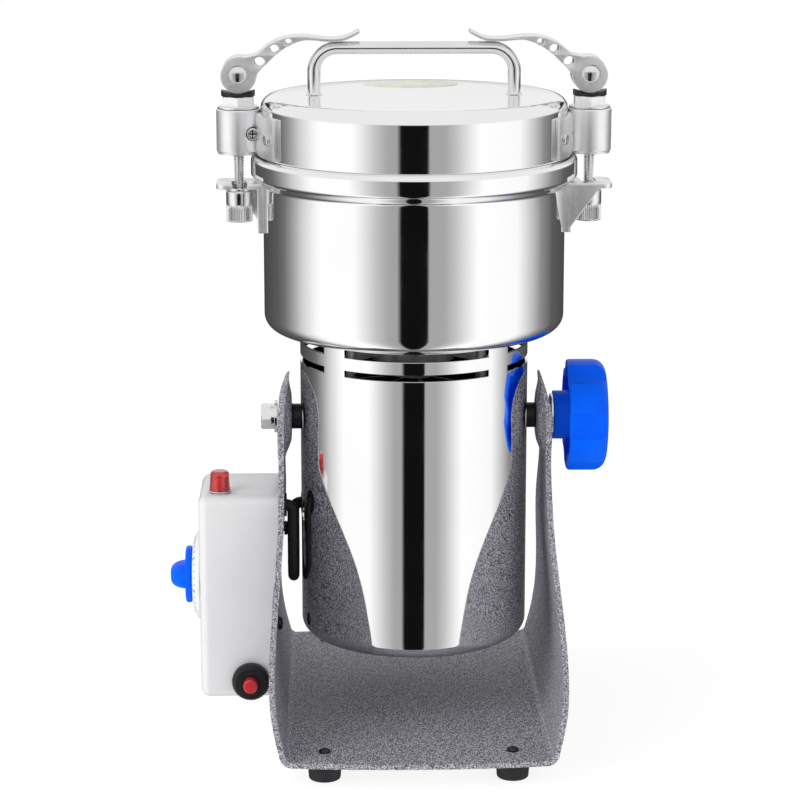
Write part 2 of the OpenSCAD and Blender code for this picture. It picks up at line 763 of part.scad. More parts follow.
module breaker_body() placed() color(black) at_breaker() difference() {
    union() {
        translate([0, -box_half_d - breaker_ring_t, 0]) along_y() cylinder(r = breaker_neck_r, h = breaker_ring_t + box_wall + 2 * cut);
        translate([-breaker_block_half, box_wall + cut - box_half_d, -breaker_block_half])
            cube([2 * breaker_block_half, breaker_block_deep, 2 * breaker_block_half]);
    }
    translate([0, -box_half_d - breaker_ring_t - cut, 0]) along_y() cylinder(r = button_r + run_gap, h = button_bore_deep + cut);
}
module breaker_ring() placed() color(black) at_breaker() translate([0, -box_half_d - breaker_ring_t, 0]) along_y() difference() {
    puck(breaker_ring_r, breaker_ring_t, ear_edge);
    translate([0, 0, -cut]) cylinder(r = breaker_neck_r, h = breaker_ring_t + 2 * cut);
    for (i = [0:29]) rotate([0, 0, 12 * i]) translate([breaker_ring_r + nut_flute_r / 2, 0, ear_edge])
        cylinder(r = nut_flute_r * 1.4, h = breaker_ring_t, $fn = 16);
}
module reset_button() placed() color(red) at_breaker() translate([0, button_front_y, 0]) along_y()
    puck(button_r, button_len, ear_edge);
module reset_spring() placed() color(steel) at_breaker() translate([0, button_front_y + button_len, 0]) along_y()
    tube(button_r - 2 * run_gap, button_r - spring_wall, button_bore_deep - button_len + button_out);
module mains_gland() placed() color(black) translate([gland_x, box_half_d, gland_z]) along_y() difference() {
    union() {
        rotate_extrude() polygon([[0, 0], [gland_r, 0], [gland_r, gland_flange_t],
            [gland_nose_r, gland_flange_t + cut], [gland_nose_r - cut, gland_nose], [0, gland_nose]]);
        translate([0, 0, -gland_in]) cylinder(r = gland_neck_r, h = gland_in + cut);
        translate([0, 0, -box_wall - gland_flange_t]) cylinder(r = gland_r, h = gland_flange_t, $fn = 6);
    }
    translate([0, 0, -gland_in - cut]) cylinder(r = gland_bore_r, h = gland_in + gland_nose + 2 * cut);
}
module terminal_block() placed() {
    floor_z = box_z + box_wall;
    color("ivory") translate([block_x - block_w / 2, block_y - block_d / 2, floor_z]) cube([block_w, block_d, block_h]);
    color(copper) for (y = [-1, 1]) translate([block_x, block_y + y * block_d / 4, floor_z + block_h])
        cylinder(r = wire_r, h = dial_z - timer_half - floor_z - block_h);
}

// Lead between the stand and the swinging housing
module elbow(bend) rotate_extrude(angle = quarter) translate([bend, 0]) circle(r = lead_r);
module arm_grommet() placed() color(black) translate([-arm_x(lead_arm_z), -lead_half, lead_arm_z]) along_x() difference() {
    union() {
        translate([0, 0, -2 * grommet_gap]) cylinder(r = grommet_neck_r, h = sheet_t + 4 * grommet_gap);
        translate([0, 0, sheet_t + grommet_gap]) puck(grommet_flange_r, grommet_flange_t, grommet_flange_t / 3);
        translate([0, 0, -grommet_flange_t - grommet_gap]) puck(grommet_flange_r, grommet_flange_t, grommet_flange_t / 3);
    }
    translate([0, 0, -grommet_flange_t - 2 * cut]) cylinder(r = lead_r, h = sheet_t + 2 * (grommet_flange_t + 2 * cut));
}
module motor_lead() placed() color(black) {
    low = lead_low_z + lead_half;
    union() {
        translate([-lead_box_end, -lead_half, lead_arm_z]) along_x() cylinder(r = lead_r, h = lead_box_end - lead_x - lead_bend);
        translate([-lead_x - lead_bend, -lead_half, lead_arm_z - lead_bend]) rotate([90, 0, 0]) elbow(lead_bend);
        translate([-lead_x, -lead_half, low]) cylinder(r = lead_r, h = lead_arm_z - lead_bend - low);
        translate([-lead_x, 0, low]) rotate([90, 0, 90]) rotate([0, 0, 180]) rotate_extrude(angle = 180)
            translate([lead_half, 0]) circle(r = lead_r);
        translate([-lead_x, lead_half, low]) cylinder(r = lead_r, h = lead_housing_z - lead_bend - low);
        translate([-lead_x + lead_bend, lead_half, lead_housing_z - lead_bend]) rotate([90, 0, 0]) rotate([0, 0, quarter]) elbow(lead_bend);
        translate([-lead_x + lead_bend, lead_half, lead_housing_z]) along_x()
            cylinder(r = lead_r, h = lead_x - lead_bend - housing_r + lead_inside);
    }
}
module housing_grommet() placed() color(black) translate([0, 0, lead_housing_z]) difference() {
    hole_r = grommet_neck_r - cut;
    union() {
        difference() {
            translate([lead_bend - lead_x, lead_half, 0]) along_x() cylinder(r = grommet_flange_r - cut, h = grommet_neck_r);
            translate([0, 0, -2 * grommet_flange_r]) cylinder(r = housing_r, h = 4 * grommet_flange_r, $fn = 180);
        }
        translate([lead_bend - lead_x, lead_half, 0]) along_x() cylinder(r = hole_r, h = grommet_neck_r);
    }
    translate([-lead_x, lead_half, 0]) along_x() cylinder(r = lead_r, h = 2 * grommet_flange_r);
}

// Motor housing and its covers
module housing_form(inset) translate([0, 0, housing_z + inset]) rotate_extrude() polygon(concat([[0, 0]],
    arc_points(housing_r - housing_fillet, housing_fillet - inset, housing_fillet - inset, -quarter, 0, 10),
    [[housing_r - inset, bowl_z - housing_z - inset + (inset > 0 ? cut : 0)],
        [0, bowl_z - housing_z - inset + (inset > 0 ? cut : 0)]]));
module motor_housing() placed() color(steel) difference() {
    union() {
        difference() {
            housing_form(0);
            housing_form(housing_wall);
            translate([0, 0, housing_z - cut]) cylinder(r = lip_r, h = housing_wall + 2 * cut);
        }
        intersection() {
            translate([0, 0, pivot_z - 2 * pad_r]) cylinder(r = housing_r - housing_wall / 2, h = 4 * pad_r);
            for (s = [0, 1]) mirror([s, 0, 0]) translate([pad_in, 0, pivot_z]) along_x() cylinder(r = pad_r, h = 2 * pad_deep);
        }
    }
    translate([-housing_r - cut, 0, pivot_z]) along_x() cylinder(r = pivot_r, h = housing_wall + pad_deep + 2 * cut);
    translate([pad_in - cut, 0, pivot_z]) along_x() cylinder(r = pivot_r + run_gap, h = housing_wall + pad_deep + 2 * cut);
    for (i = [0:3]) rotate([0, 0, quarter * i - slot_span / 2]) {
        translate([0, 0, slot_low_z]) rotate_extrude(angle = slot_span)
            translate([housing_r - housing_wall - cut, 0]) square([housing_wall + 2 * cut, low_slot_h]);
        translate([0, 0, slot_high_z]) rotate_extrude(angle = slot_span)
            translate([housing_r - housing_wall - cut, 0]) square([housing_wall + 2 * cut, high_slot_h]);
    }
    translate([-housing_r - cut, lead_half, lead_housing_z]) along_x() cylinder(r = grommet_neck_r - cut, h = housing_wall + 4 * cut);
}
module bottom_cover() placed() color(steel) translate([0, 0, cover_z]) difference() {
    cylinder(r = cover_r, h = cover_t);
    for (i = [0:vent_count - 1]) rotate([0, 0, 360 / vent_count * i]) translate([vent_at, 0, -cut])
        cylinder(r = vent_r, h = cover_t + 2 * cut);
    at_columns() translate([0, 0, -cut]) cylinder(r = motor_bolt_r, h = cover_t + 2 * cut);
}
module ribs(z, h) for (i = [0:3]) rotate([0, 0, 45 + quarter * i]) translate([0, -arm_w / 2, z]) cube([column_at, arm_w, h]);
module top_plate() placed() color(cast_grey) difference() {
    plate_low_z = bowl_z - top_plate_t;
    hub_r = high_bearing_od + hub_wall;
    union() {
        translate([0, 0, plate_low_z]) cylinder(r = housing_r - housing_wall - top_plate_gap, h = top_plate_t);
        translate([0, 0, high_bearing_z - cut]) cylinder(r = hub_r, h = plate_low_z - high_bearing_z + 2 * cut);
        ribs(plate_low_z - arm_w, arm_w + cut);
        at_columns() translate([0, 0, core_top_z]) cylinder(r = column_r, h = plate_low_z - core_top_z + cut);
    }
    translate([0, 0, high_bearing_z - 2 * cut]) cylinder(r = high_bearing_od, h = high_bearing_w + 2 * cut);
    translate([0, 0, high_bearing_z]) cylinder(r = shaft_r + cut, h = bowl_z - high_bearing_z + cut);
    at_columns() translate([0, 0, core_top_z - cut]) cylinder(r = motor_bolt_r, h = bowl_z - core_top_z - top_plate_t);
    for (i = [0:3]) rotate([0, 0, quarter * i]) translate([bowl_screw_at, 0, plate_low_z - cut])
        cylinder(r = bowl_screw_r, h = top_plate_t + 2 * cut);
}
module lower_bracket() placed() color(cast_grey) difference() {
    union() {
        translate([0, 0, bracket_z]) cylinder(r = low_bearing_od + hub_wall, h = bracket_h);
        ribs(bracket_z, bracket_h);
        translate([0, 0, bracket_z]) tube(brush_ring_out, brush_ring_in, brush_seat_z - bracket_z);
        at_columns() translate([0, 0, cover_z + cover_t]) cylinder(r = column_r, h = core_z - cover_z - cover_t);
    }
    translate([0, 0, low_bearing_z]) cylinder(r = low_bearing_od, h = bracket_h + cut);
    translate([0, 0, bracket_z - cut]) cylinder(r = low_bearing_id + 2 * cut, h = bracket_h);
    at_columns() translate([0, 0, cover_z]) cylinder(r = motor_bolt_r, h = core_z - cover_z + cut);
}
module motor_bolts() placed() color(steel) at_columns() {
    translate([0, 0, cover_z]) cylinder(r = motor_bolt_r, h = bowl_z - top_plate_t - cover_z - 2 * cut);
    translate([0, 0, cover_z - motor_bolt_head_h]) cylinder(r = motor_bolt_head_r, h = motor_bolt_head_h, $fn = 6);
}
module stator_core() placed() color([0.45, 0.45, 0.47]) translate([0, 0, core_z]) difference() {
    intersection() {
        cylinder(r = column_at + column_r, h = core_len);
        translate([-stator_r, -stator_r, 0]) cube([2 * stator_r, 2 * stator_r, core_len]);
    }
    translate([0, 0, -cut]) cylinder(r = stator_bore_r, h = core_len + 2 * cut);
    for (i = [0, 1]) rotate([0, 0, 180 * i + pole_half]) translate([0, 0, -cut]) rotate_extrude(angle = 180 - 2 * pole_half)
        translate([stator_bore_r - cut, 0]) square([stator_r - stator_ring_t - stator_bore_r + cut, core_len + 2 * cut]);
    at_columns() translate([0, 0, -cut]) cylinder(r = motor_bolt_r, h = core_len + 2 * cut);
}
module field_coils() placed() color(copper) for (i = [0, 1]) rotate([0, 0, 180 * i]) {
    coil_in = stator_bore_r + cut;
    coil_w = stator_r - stator_ring_t - coil_in - seat_gap;
    leg_span = 28;
    leg_from = pole_half + 2;
    span = 2 * (leg_from + leg_span);
    difference() {
        rotate([0, 0, -span / 2]) translate([0, 0, core_z - end_turn])
            rotate_extrude(angle = span) translate([coil_in, 0]) square([coil_w, core_len + 2 * end_turn]);
        rotate([0, 0, -leg_from]) translate([0, 0, core_z])
            rotate_extrude(angle = 2 * leg_from) translate([coil_in - cut, 0]) square([coil_w + 2 * cut, core_len]);
    }
}
module brush_gear() placed() for (i = [0, 1]) rotate([0, 0, quarter + 180 * i]) {
    start = commutator_r + brush_gap;
    hold_from = start + 2 * cut;
    hold_w = brush_w / 2 + brush_wall;
    hold_h = brush_h / 2 + brush_wall;
    spring_len = brush_ring_out - start - brush_len - brush_wall;
    color("goldenrod") difference() {
        translate([hold_from, -hold_w, brush_mid_z - hold_h]) cube([brush_ring_out - hold_from, 2 * hold_w, 2 * hold_h]);
        translate([hold_from - cut, -brush_w / 2, brush_mid_z - brush_h / 2])
            cube([brush_ring_out - hold_from - brush_wall + cut, brush_w, brush_h]);
    }
    color(black) translate([start, -brush_w / 2, brush_mid_z - brush_h / 2]) cube([brush_len, brush_w, brush_h]);
    color(steel) translate([start + brush_len, 0, brush_mid_z]) along_x()
        tube(brush_w / 2 - seat_gap, brush_w / 2 - 2 * seat_gap - wire_r / 2, spring_len);
}
// Ball bearing: part is "outer" or "inner", between the radii of its seat and its shaft
module race(od, id, w, outer) {
    mid = (od + id) / 2;
    ball = (od - id) / 2 - race_t / 2;
    difference() {
        if (outer) tube(od, od - race_t, w);
        else tube(id + race_t, id, w);
        translate([0, 0, w / 2]) rotate_extrude() translate([mid, 0]) circle(r = ball + ball_gap);
    }
    if (outer) for (i = [0:ball_count - 1]) rotate([0, 0, 360 / ball_count * i]) translate([mid, 0, w / 2]) sphere(r = ball, $fn = 24);
}
module bearing_outers() placed() color(steel) {
    translate([0, 0, low_bearing_z]) race(low_bearing_od, low_bearing_id, low_bearing_w, true);
    translate([0, 0, high_bearing_z]) race(high_bearing_od, shaft_r, high_bearing_w, true);
}
module bearing_inners() placed() color(steel) {
    translate([0, 0, low_bearing_z]) race(low_bearing_od, low_bearing_id, low_bearing_w, false);
    translate([0, 0, high_bearing_z]) race(high_bearing_od, shaft_r, high_bearing_w, false);
}
module shaft_seal() placed() color(black) difference() {
    translate([0, 0, bowl_z]) union() {
        cylinder(r = seal_r, h = steel_wall + cut);
        translate([0, 0, steel_wall]) puck(seal_flange_r, seal_flange_t, ear_edge);
    }
    translate([0, 0, bowl_z - cut]) cylinder(r = shaft_r + run_gap, h = steel_wall + seal_flange_t + 2 * cut);
}

// Rotor
module rotor_shaft() placed() color(steel) union() {
    translate([0, 0, low_bearing_z - 2 * cut]) cylinder(r = low_bearing_id, h = low_bearing_w + 4 * cut);
    translate([0, 0, low_bearing_z + low_bearing_w]) cylinder(r = shaft_r, h = blade_low_z - low_bearing_z - low_bearing_w);
    translate([0, 0, blade_low_z - cut]) cylinder(r = spindle_r, h = spindle_top_z - blade_low_z + cut);
}
module armature() placed() {
    color([0.4, 0.4, 0.42]) translate([0, 0, core_z]) tube(armature_r, shaft_r, core_len);
    color(copper) for (z = [core_z - end_turn, core_top_z]) translate([0, 0, z]) difference() {
        puck(armature_r - end_turn_in, end_turn, end_turn / 3);
        translate([0, 0, -cut]) cylinder(r = shaft_r, h = end_turn + 2 * cut);
    }
}
module commutator() placed() color(copper) translate([0, 0, commutator_z]) tube(commutator_r, shaft_r, commutator_len);
module cooling_fan() placed() color(black) translate([0, 0, fan_z]) difference() {
    union() {
        cylinder(r = fan_r, h = fan_disc_t);
        cylinder(r = fan_hub_r, h = fan_h);
        for (i = [0:fan_blades - 1]) rotate([0, 0, 360 / fan_blades * i]) translate([fan_hub_r - cut, -fan_blade_t / 2, 0])
            cube([fan_r - fan_hub_r, fan_blade_t, fan_h]);
    }
    translate([0, 0, -cut]) cylinder(r = shaft_r, h = fan_h + 2 * cut);
}
module blade(reach) linear_extrude(blade_t) difference() {
    union() {
        circle(r = blade_hub_r);
        for (s = [0, 180]) rotate(s) polygon(concat(
            [[0, -blade_root]],
            [for (i = [0:6]) [reach * (0.2 + 0.8 * i / 6), -blade_root + blade_root * blade_tip_share * pow(i / 6, 2)]],
            [for (i = [6:-1:0]) [reach * (0.1 + 0.86 * i / 6), blade_root * (1 - pow(i / 6, 2)) + 1.2 * blade_t * i / 6]],
            [[0, blade_root]]));
    }
    circle(r = spindle_r);
}
module blade_lower() placed() color(steel) translate([0, 0, blade_low_z]) blade(low_blade_r);
module blade_middle() placed() color(steel) translate([0, 0, blade_mid_z]) rotate([0, 0, 60]) blade(mid_blade_r);
module blade_upper() placed() color(steel) translate([0, 0, blade_top_z]) rotate([0, 0, 120]) blade(top_blade_r);
module blade_spacers() placed() color(steel) for (z = [blade_low_z + blade_t, blade_mid_z + blade_t])
    translate([0, 0, z]) tube(blade_hub_r - cut, spindle_r, spacer_h);
module blade_nut() placed() color(steel) translate([0, 0, blade_top_z + blade_t]) difference() {
    cylinder(r = blade_nut_r, h = blade_nut_h, $fn = 6);
    translate([0, 0, -cut]) cylinder(r = spindle_r, h = blade_nut_h + 2 * cut);
}

// Grinding bowl, with the inner face of its flare in six steps
function flare_x(i) = bowl_r - steel_wall + rim_out * pow(sin(quarter * i / 6), 2);
function flare_z(i) = step_z + cut + rim_rise * i / 6;
function bowl_outer() = concat([[0, bowl_z]],
    arc_points(bowl_r - bowl_fillet, bowl_z + bowl_fillet, bowl_fillet, -quarter, 0, 8),
    [for (i = [0:6]) [bowl_r + rim_out * pow(sin(quarter * i / 6), 2), step_z + rim_rise * i / 6]],
    arc_points(rim_r - rim_curl, rim_top_z - rim_curl, rim_curl, 0, quarter));
function bowl_inner() = concat(
    [[lid_r + rim_lip_gap, rim_top_z], [lid_r + rim_lip_gap, rim_top_z - steel_wall],
        [rim_r - steel_wall - cut, rim_top_z - steel_wall], [rim_r - steel_wall, rim_top_z - rim_curl]],
    [for (i = [6:-1:0]) [flare_x(i), flare_z(i)]],
    arc_points(bowl_r - bowl_fillet, bowl_z + bowl_fillet, bowl_fillet - steel_wall, 0, -quarter, 8),
    [[0, bowl_z + steel_wall]]);
module bowl_form() rotate_extrude() polygon(concat(bowl_outer(), [[0, rim_top_z]]));
module grinding_bowl() placed() color(steel) difference() {
    rotate_extrude() polygon(concat(bowl_outer(), bowl_inner()));
    translate([0, 0, bowl_z - cut]) cylinder(r = seal_r, h = steel_wall + 2 * cut);
    for (i = [0:3]) rotate([0, 0, quarter * i]) translate([bowl_screw_at, 0, bowl_z - cut])
        cylinder(r = bowl_screw_r, h = steel_wall + 2 * cut);
}
module bowl_screws() placed() color(steel) for (i = [0:3]) rotate([0, 0, quarter * i])
    translate([bowl_screw_at, 0, bowl_z + steel_wall])
        pan_screw(bowl_screw_head_r, bowl_screw_head_h, bowl_screw_r, steel_wall + top_plate_t);
module clamp_ears() placed() color(steel) both_clamps() difference() {
    out = clamp_x + hook_out;
    union() {
        translate([-out, -hook_w / 2, hook_z]) linear_extrude(hook_t) difference() {
            square([out - bowl_r + rim_out, hook_w]);
            for (y = [0, hook_w]) translate([0, y]) difference() {
                square(2 * hook_corner, center = true);
                translate([hook_corner, y == 0 ? hook_corner : -hook_corner]) circle(r = hook_corner);
            }
        }
        translate([-bowl_r - hook_leg_t, -hook_w / 2, hook_top_z - hook_leg_h])
            cube([hook_leg_t + rim_out, hook_w, hook_leg_h - hook_t / 2]);
        translate([0, hook_w / 2, 0]) rotate([90, 0, 0]) linear_extrude(hook_web_t) polygon([
            [-bowl_r, hook_z + hook_t / 2], [-clamp_x - hook_out / 2, hook_z + hook_t / 2],
            [-bowl_r - hook_leg_t, hook_top_z - hook_leg_h + hook_t], [-bowl_r, hook_top_z - hook_leg_h + hook_t]]);
    }
    bowl_form();
    translate([0, 0, hook_z - cut]) rotate([0, 0, 180]) rotate_extrude(angle = quarter / 4)
        translate([clamp_x - rod_r - hook_slot_gap, 0]) square([2 * (rod_r + hook_slot_gap), hook_t + 2 * cut]);
    translate([-clamp_x, 0, hook_z - cut]) cylinder(r = rod_r + hook_slot_gap, h = hook_t + 2 * cut);
}

// Tilt axis
module pivot_bushes() placed() color(black) difference() {
    for (s = [0, 1]) mirror([s, 0, 0]) translate([housing_r - 2 * cut, 0, pivot_z]) along_x()
        cylinder(r = bush_r, h = bush_len + 2 * cut - seat_gap);
    translate([0, 0, pivot_z - 2 * bush_r]) cylinder(r = housing_r, h = 4 * bush_r);
    translate([-ear_out, 0, pivot_z]) along_x() cylinder(r = pivot_r + run_gap, h = 2 * ear_out);
}
module pivot_bolt() placed() color(steel) translate([-ear_out - move_gap, 0, pivot_z]) rotate([0, -90, 0]) {
    stack = bolt_washer_t + spring_washer_t;
    tube(bolt_washer_r, pivot_r + seat_gap, bolt_washer_t);
    translate([0, 0, bolt_washer_t]) tube(spring_washer_r, pivot_r + seat_gap, spring_washer_t);
    union() {
        translate([0, 0, stack]) rotate([0, 0, 30]) cylinder(r = bolt_head_r, h = bolt_head_h, $fn = 6);
        translate([0, 0, pad_in - ear_out - move_gap]) cylinder(r = pivot_r, h = ear_out + move_gap - pad_in + stack + cut);
    }
    translate([0, 0, -ear_out - move_gap - knob_x - stud_in]) cylinder(r = pivot_r, h = knob_x + stud_in - pad_in);
}
module knob_washer() placed() color(steel) translate([knob_washer_x, 0, pivot_z]) along_x()
    tube(knob_washer_r, pivot_r + run_gap, knob_washer_t);
module star_plan() difference() {
    circle(r = star_r);
    for (i = [0:star_lobes - 1]) rotate(360 / star_lobes * (i + 0.5)) translate([star_scallop_at, 0]) circle(r = star_scallop_r);
}
module tilt_knob() placed() color(blue) translate([knob_x, 0, pivot_z]) along_x() difference() {
    star_form();
    translate([0, 0, -cut]) cylinder(r = pivot_r + run_gap, h = cut + stud_in + stud_gap);
}
module star_form() union() {
    cylinder(r = star_hub_r, h = star_hub_len + star_cavity_deep);
    difference() {
        intersection() {
            translate([0, 0, star_hub_len]) linear_extrude(star_head_len) star_plan();
            translate([0, 0, star_hub_len]) rotate_extrude() polygon(concat([[0, 0]],
                arc_points(star_r - star_back_round, star_back_round, star_back_round, -quarter, 0, 3),
                arc_points(star_r - star_round, star_head_len - star_round, star_round, 0, quarter), [[0, star_head_len]]));
        }
        translate([0, 0, star_hub_len - cut]) linear_extrude(star_cavity_deep + cut) difference() {
            intersection() {
                circle(r = star_r - star_wall);
                for (i = [0]) difference() {
                    circle(r = star_r);
                    for (k = [0:star_lobes - 1]) rotate(360 / star_lobes * (k + 0.5)) translate([star_scallop_at, 0])
                        circle(r = star_scallop_r + star_wall);
                }
            }
            circle(r = star_core_r);
        }
    }
}

// Lid
module lid() placed() color(steel) difference() {
    rotate_extrude() polygon(concat(
        [[lid_r - steel_wall, lid_foot_z], [lid_r, lid_foot_z]],
        arc_points(lid_r - lid_shoulder, lid_top_z - lid_shoulder, lid_shoulder, 0, quarter, 8),
        [[0, lid_top_z], [0, lid_top_z - steel_wall]],
        arc_points(lid_r - lid_shoulder, lid_top_z - lid_shoulder, lid_shoulder - steel_wall, quarter, 0, 8)));
    both_clamps() for (s = [-1, 1]) rotate([0, 0, s * strap_screw_angle]) translate([-lid_r - cut, 0, clamp_mid_z]) along_x()
        cylinder(r = strap_screw_r, h = steel_wall + 3 * cut);
}
module lid_gasket() placed() color("whitesmoke") rotate_extrude() polygon(concat(
    [for (i = [1:4]) [min(lid_r + move_gap, flare_x(i) - gasket_gap), flare_z(i)]],
    [[lid_r + move_gap, lid_foot_z], [bowl_r - steel_wall - gasket_in, lid_foot_z],
        [bowl_r - steel_wall - gasket_in, flare_z(1)]]));
module lid_handle() placed() color(steel) translate([0, 0, lid_top_z]) union() {
    leg = handle_rise - handle_bend;
    for (s = [0, 1]) mirror([s, 0, 0]) {
        translate([handle_half, 0, 0]) cylinder(r = handle_r, h = leg);
        translate([handle_half - handle_bend, 0, leg]) rotate([90, 0, 0]) rotate_extrude(angle = quarter)
            translate([handle_bend, 0]) circle(r = handle_r);
    }
    translate([handle_bend - handle_half, 0, handle_rise]) along_x() cylinder(r = handle_r, h = 2 * (handle_half - handle_bend));
}

// Clamps
module strap_hole(a) rotate([0, 0, a]) translate([-lid_r - strap_t - cut, 0, clamp_mid_z]) along_x()
    cylinder(r = strap_screw_r, h = strap_t + 2 * cut);
module clamp_saddles() placed() color(steel) both_clamps() difference() {
    difference() {
        union() {
            translate([-clamp_x, 0, barrel_z + collar_h]) puck(barrel_r, barrel_h - collar_h, barrel_edge);
            translate([-clamp_x, 0, barrel_z]) cylinder(r = barrel_r - collar_in, h = 2 * collar_h);
            rotate([0, 0, 180 - strap_span / 2]) translate([0, 0, strap_z]) rotate_extrude(angle = strap_span)
                translate([lid_r - cut, 0]) square([strap_t + cut, strap_h]);
            translate([-clamp_x, -neck_half_w, strap_z + neck_edge])
                cube([barrel_r + cut, 2 * neck_half_w, strap_h - 2 * neck_edge]);
        }
        translate([0, 0, barrel_z - cut]) cylinder(r = lid_r + seat_gap, h = barrel_h + 2 * cut);
    }
    translate([-clamp_x, 0, barrel_z - cut]) cylinder(r = rod_r + bore_gap, h = barrel_h + 2 * cut);
    translate([barrel_screw_x - clamp_x, -barrel_r - cut, clamp_mid_z]) along_y()
        cylinder(r = barrel_screw_head_r + seat_gap, h = barrel_r + cut - barrel_seat_y);
    translate([barrel_screw_x - clamp_x, -barrel_r, clamp_mid_z]) along_y() cylinder(r = barrel_screw_r, h = barrel_r + neck_half_w);
    strap_hole(strap_screw_angle);
    strap_hole(-strap_screw_angle);
}
module saddle_screws() placed() color(steel) both_clamps() {
    translate([barrel_screw_x - clamp_x, -barrel_seat_y, clamp_mid_z]) rotate([90, 0, 0])
        pan_screw(barrel_screw_head_r, barrel_screw_head_h, barrel_screw_r, barrel_seat_y + neck_half_w);
    for (s = [-1, 1]) rotate([0, 0, s * strap_screw_angle]) translate([-lid_r - strap_t, 0, clamp_mid_z]) rotate([0, -90, 0])
        pan_screw(strap_screw_head_r, strap_screw_head_h, strap_screw_r, strap_t + steel_wall + strap_screw_in);
}
module barrel_caps() placed() color(steel) both_clamps() translate([-clamp_x, 0, barrel_top_z]) difference() {
    union() {
        cylinder(r = barrel_r - cap_flange_in, h = cap_flange_h);
        translate([0, 0, cap_flange_h]) rotate([0, 0, 30]) cylinder(r = cap_hex_r, h = cap_hex_h, $fn = 6);
    }
    translate([0, 0, -cut]) cylinder(r = rod_r + bore_gap, h = cap_flange_h + cap_hex_h + 2 * cut);
}
module cam_seats() placed() color(black) both_clamps() translate([-clamp_x, 0, cap_top_z]) difference() {
    cylinder(r = seat_r, h = seat_h);
    translate([0, -seat_r - cut, seat_floor + seat_cradle_r]) along_y() cylinder(r = seat_cradle_r, h = 2 * (seat_r + cut), $fn = 144);
    translate([0, 0, -cut]) cylinder(r = rod_r + bore_gap, h = seat_h + 2 * cut);
}
module rod(right) placed() color(steel) at_clamp(right) translate([-clamp_x, 0, 0]) {
    translate([0, 0, rod_foot_z]) cylinder(r = rod_r, h = pin_z + rod_head - rod_foot_z);
    translate([0, -pin_half, pin_z]) along_y() difference() {
        cylinder(r = pin_r, h = 2 * pin_half);
        translate([0, cut + pin_r, pin_half]) rotate([90, 0, 0]) cylinder(r = rod_r, h = cut + pin_r + rod_head);
    }
}
module washer(right) placed() color(steel) at_clamp(right) translate([-clamp_x, 0, washer_z]) tube(washer_r, rod_r + run_gap, washer_t);
module nut(right) placed() color(steel) at_clamp(right) translate([-clamp_x, 0, nut_z]) difference() {
    puck(nut_r, nut_h, barrel_edge);
    translate([0, 0, -cut]) cylinder(r = rod_r + run_gap, h = nut_h + 2 * cut);
    for (i = [0:nut_flutes - 1]) rotate([0, 0, 360 / nut_flutes * i]) translate([nut_r + nut_flute_r / 3, 0, -cut])
        cylinder(r = nut_flute_r, h = nut_h / 2, $fn = 16);
    translate([-nut_slot_w / 2, -nut_r - cut, nut_h - nut_slot_h]) cube([nut_slot_w, cut + nut_slot_w, nut_slot_h - 2 * barrel_edge]);
}
module lever_form() {
    line = smooth(lever_line_shares * lever_len, lever_steps);
    half = smooth(lever_half_shares * lever_len, lever_steps);
    last = len(line) - 1;
    first = 2 * lever_steps;
    way = [for (i = [0:last]) let (d = line[min(last, i + 1)] - line[max(0, i - 1)]) d / norm(d)];
    translate([0, 0, -lever_w / 2]) linear_extrude(lever_w) polygon(concat(
        [for (i = [last:-1:first]) line[i] + half[i] * [-way[i][1], way[i][0]]],
        [for (a = [neck_from:6:neck_to]) cam_radius(a) * [cos(a), sin(a)]],
        [for (i = [first:last]) line[i] + half[i] * [way[i][1], -way[i][0]]]));
}
module lever(right) placed() color(steel) at_clamp(right) translate([-clamp_x, 0, pin_z]) rotate([90, 0, 0]) difference() {
    lever_form();
    translate([0, 0, -lever_w / 2 - cut]) cylinder(r = pin_r + run_gap, h = lever_w + 2 * cut);
    translate([0, 0, -fork_half]) linear_extrude(2 * fork_half) polygon(concat(
        [[fork_half, -fork_deep], [fork_half, 0], fork_half * fork_side, fork_half * fork_side + fork_deep * fork_way],
        [for (i = [8:-1:0]) let (a = 270 - fork_turn * i / 8) fork_deep * [cos(a), sin(a)]]));
    for (hole = lever_hole_shares) translate([hole[0] * lever_len, hole[1] * lever_len, -lever_w / 2 - cut])
        cylinder(r = hole[2] * lever_len, h = lever_w + 2 * cut);
}
module rod_left() rod(false);
module rod_right() rod(true);
module washer_left() washer(false);
module washer_right() washer(true);
module nut_left() nut(false);
module nut_right() nut(true);
module lever_left() lever(false);
module lever_right() lever(true);

base_yoke();
rubber_feet();
stand_screws();
control_box();
box_back();
timer_body();
dial_plate();
timer_knob();
indicator_lamp();
breaker_body();
breaker_ring();
reset_spring();
reset_button();
mains_gland();
terminal_block();
arm_grommet();
motor_lead();
housing_grommet();
motor_housing();
bottom_cover();
top_plate();
lower_bracket();
motor_bolts();
stator_core();
field_coils();
brush_gear();
bearing_outers();
shaft_seal();
grinding_bowl();
bowl_screws();
clamp_ears();
pivot_bushes();
pivot_bolt();
rotor_shaft();
armature();
commutator();
cooling_fan();
bearing_inners();
blade_lower();
blade_middle();
blade_upper();
blade_spacers();
blade_nut();
lid();
lid_gasket();
lid_handle();
clamp_saddles();
saddle_screws();
barrel_caps();
cam_seats();
rod_left();
rod_right();
washer_left();
washer_right();
nut_left();
nut_right();
lever_left();
lever_right();
knob_washer();
tilt_knob();
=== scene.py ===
"""Dresses the packed grain mill in its visible shapes and finishes, and sets a small studio around it.

Every shape below is drawn in millimetres from the mill's own axis on the table, with the tilt axis
along X and the front looking along -Y. Shape.made() brings it to the frame, in metres.
"""

import json
import math

import bmesh
import bpy
from mathutils import Matrix, Vector


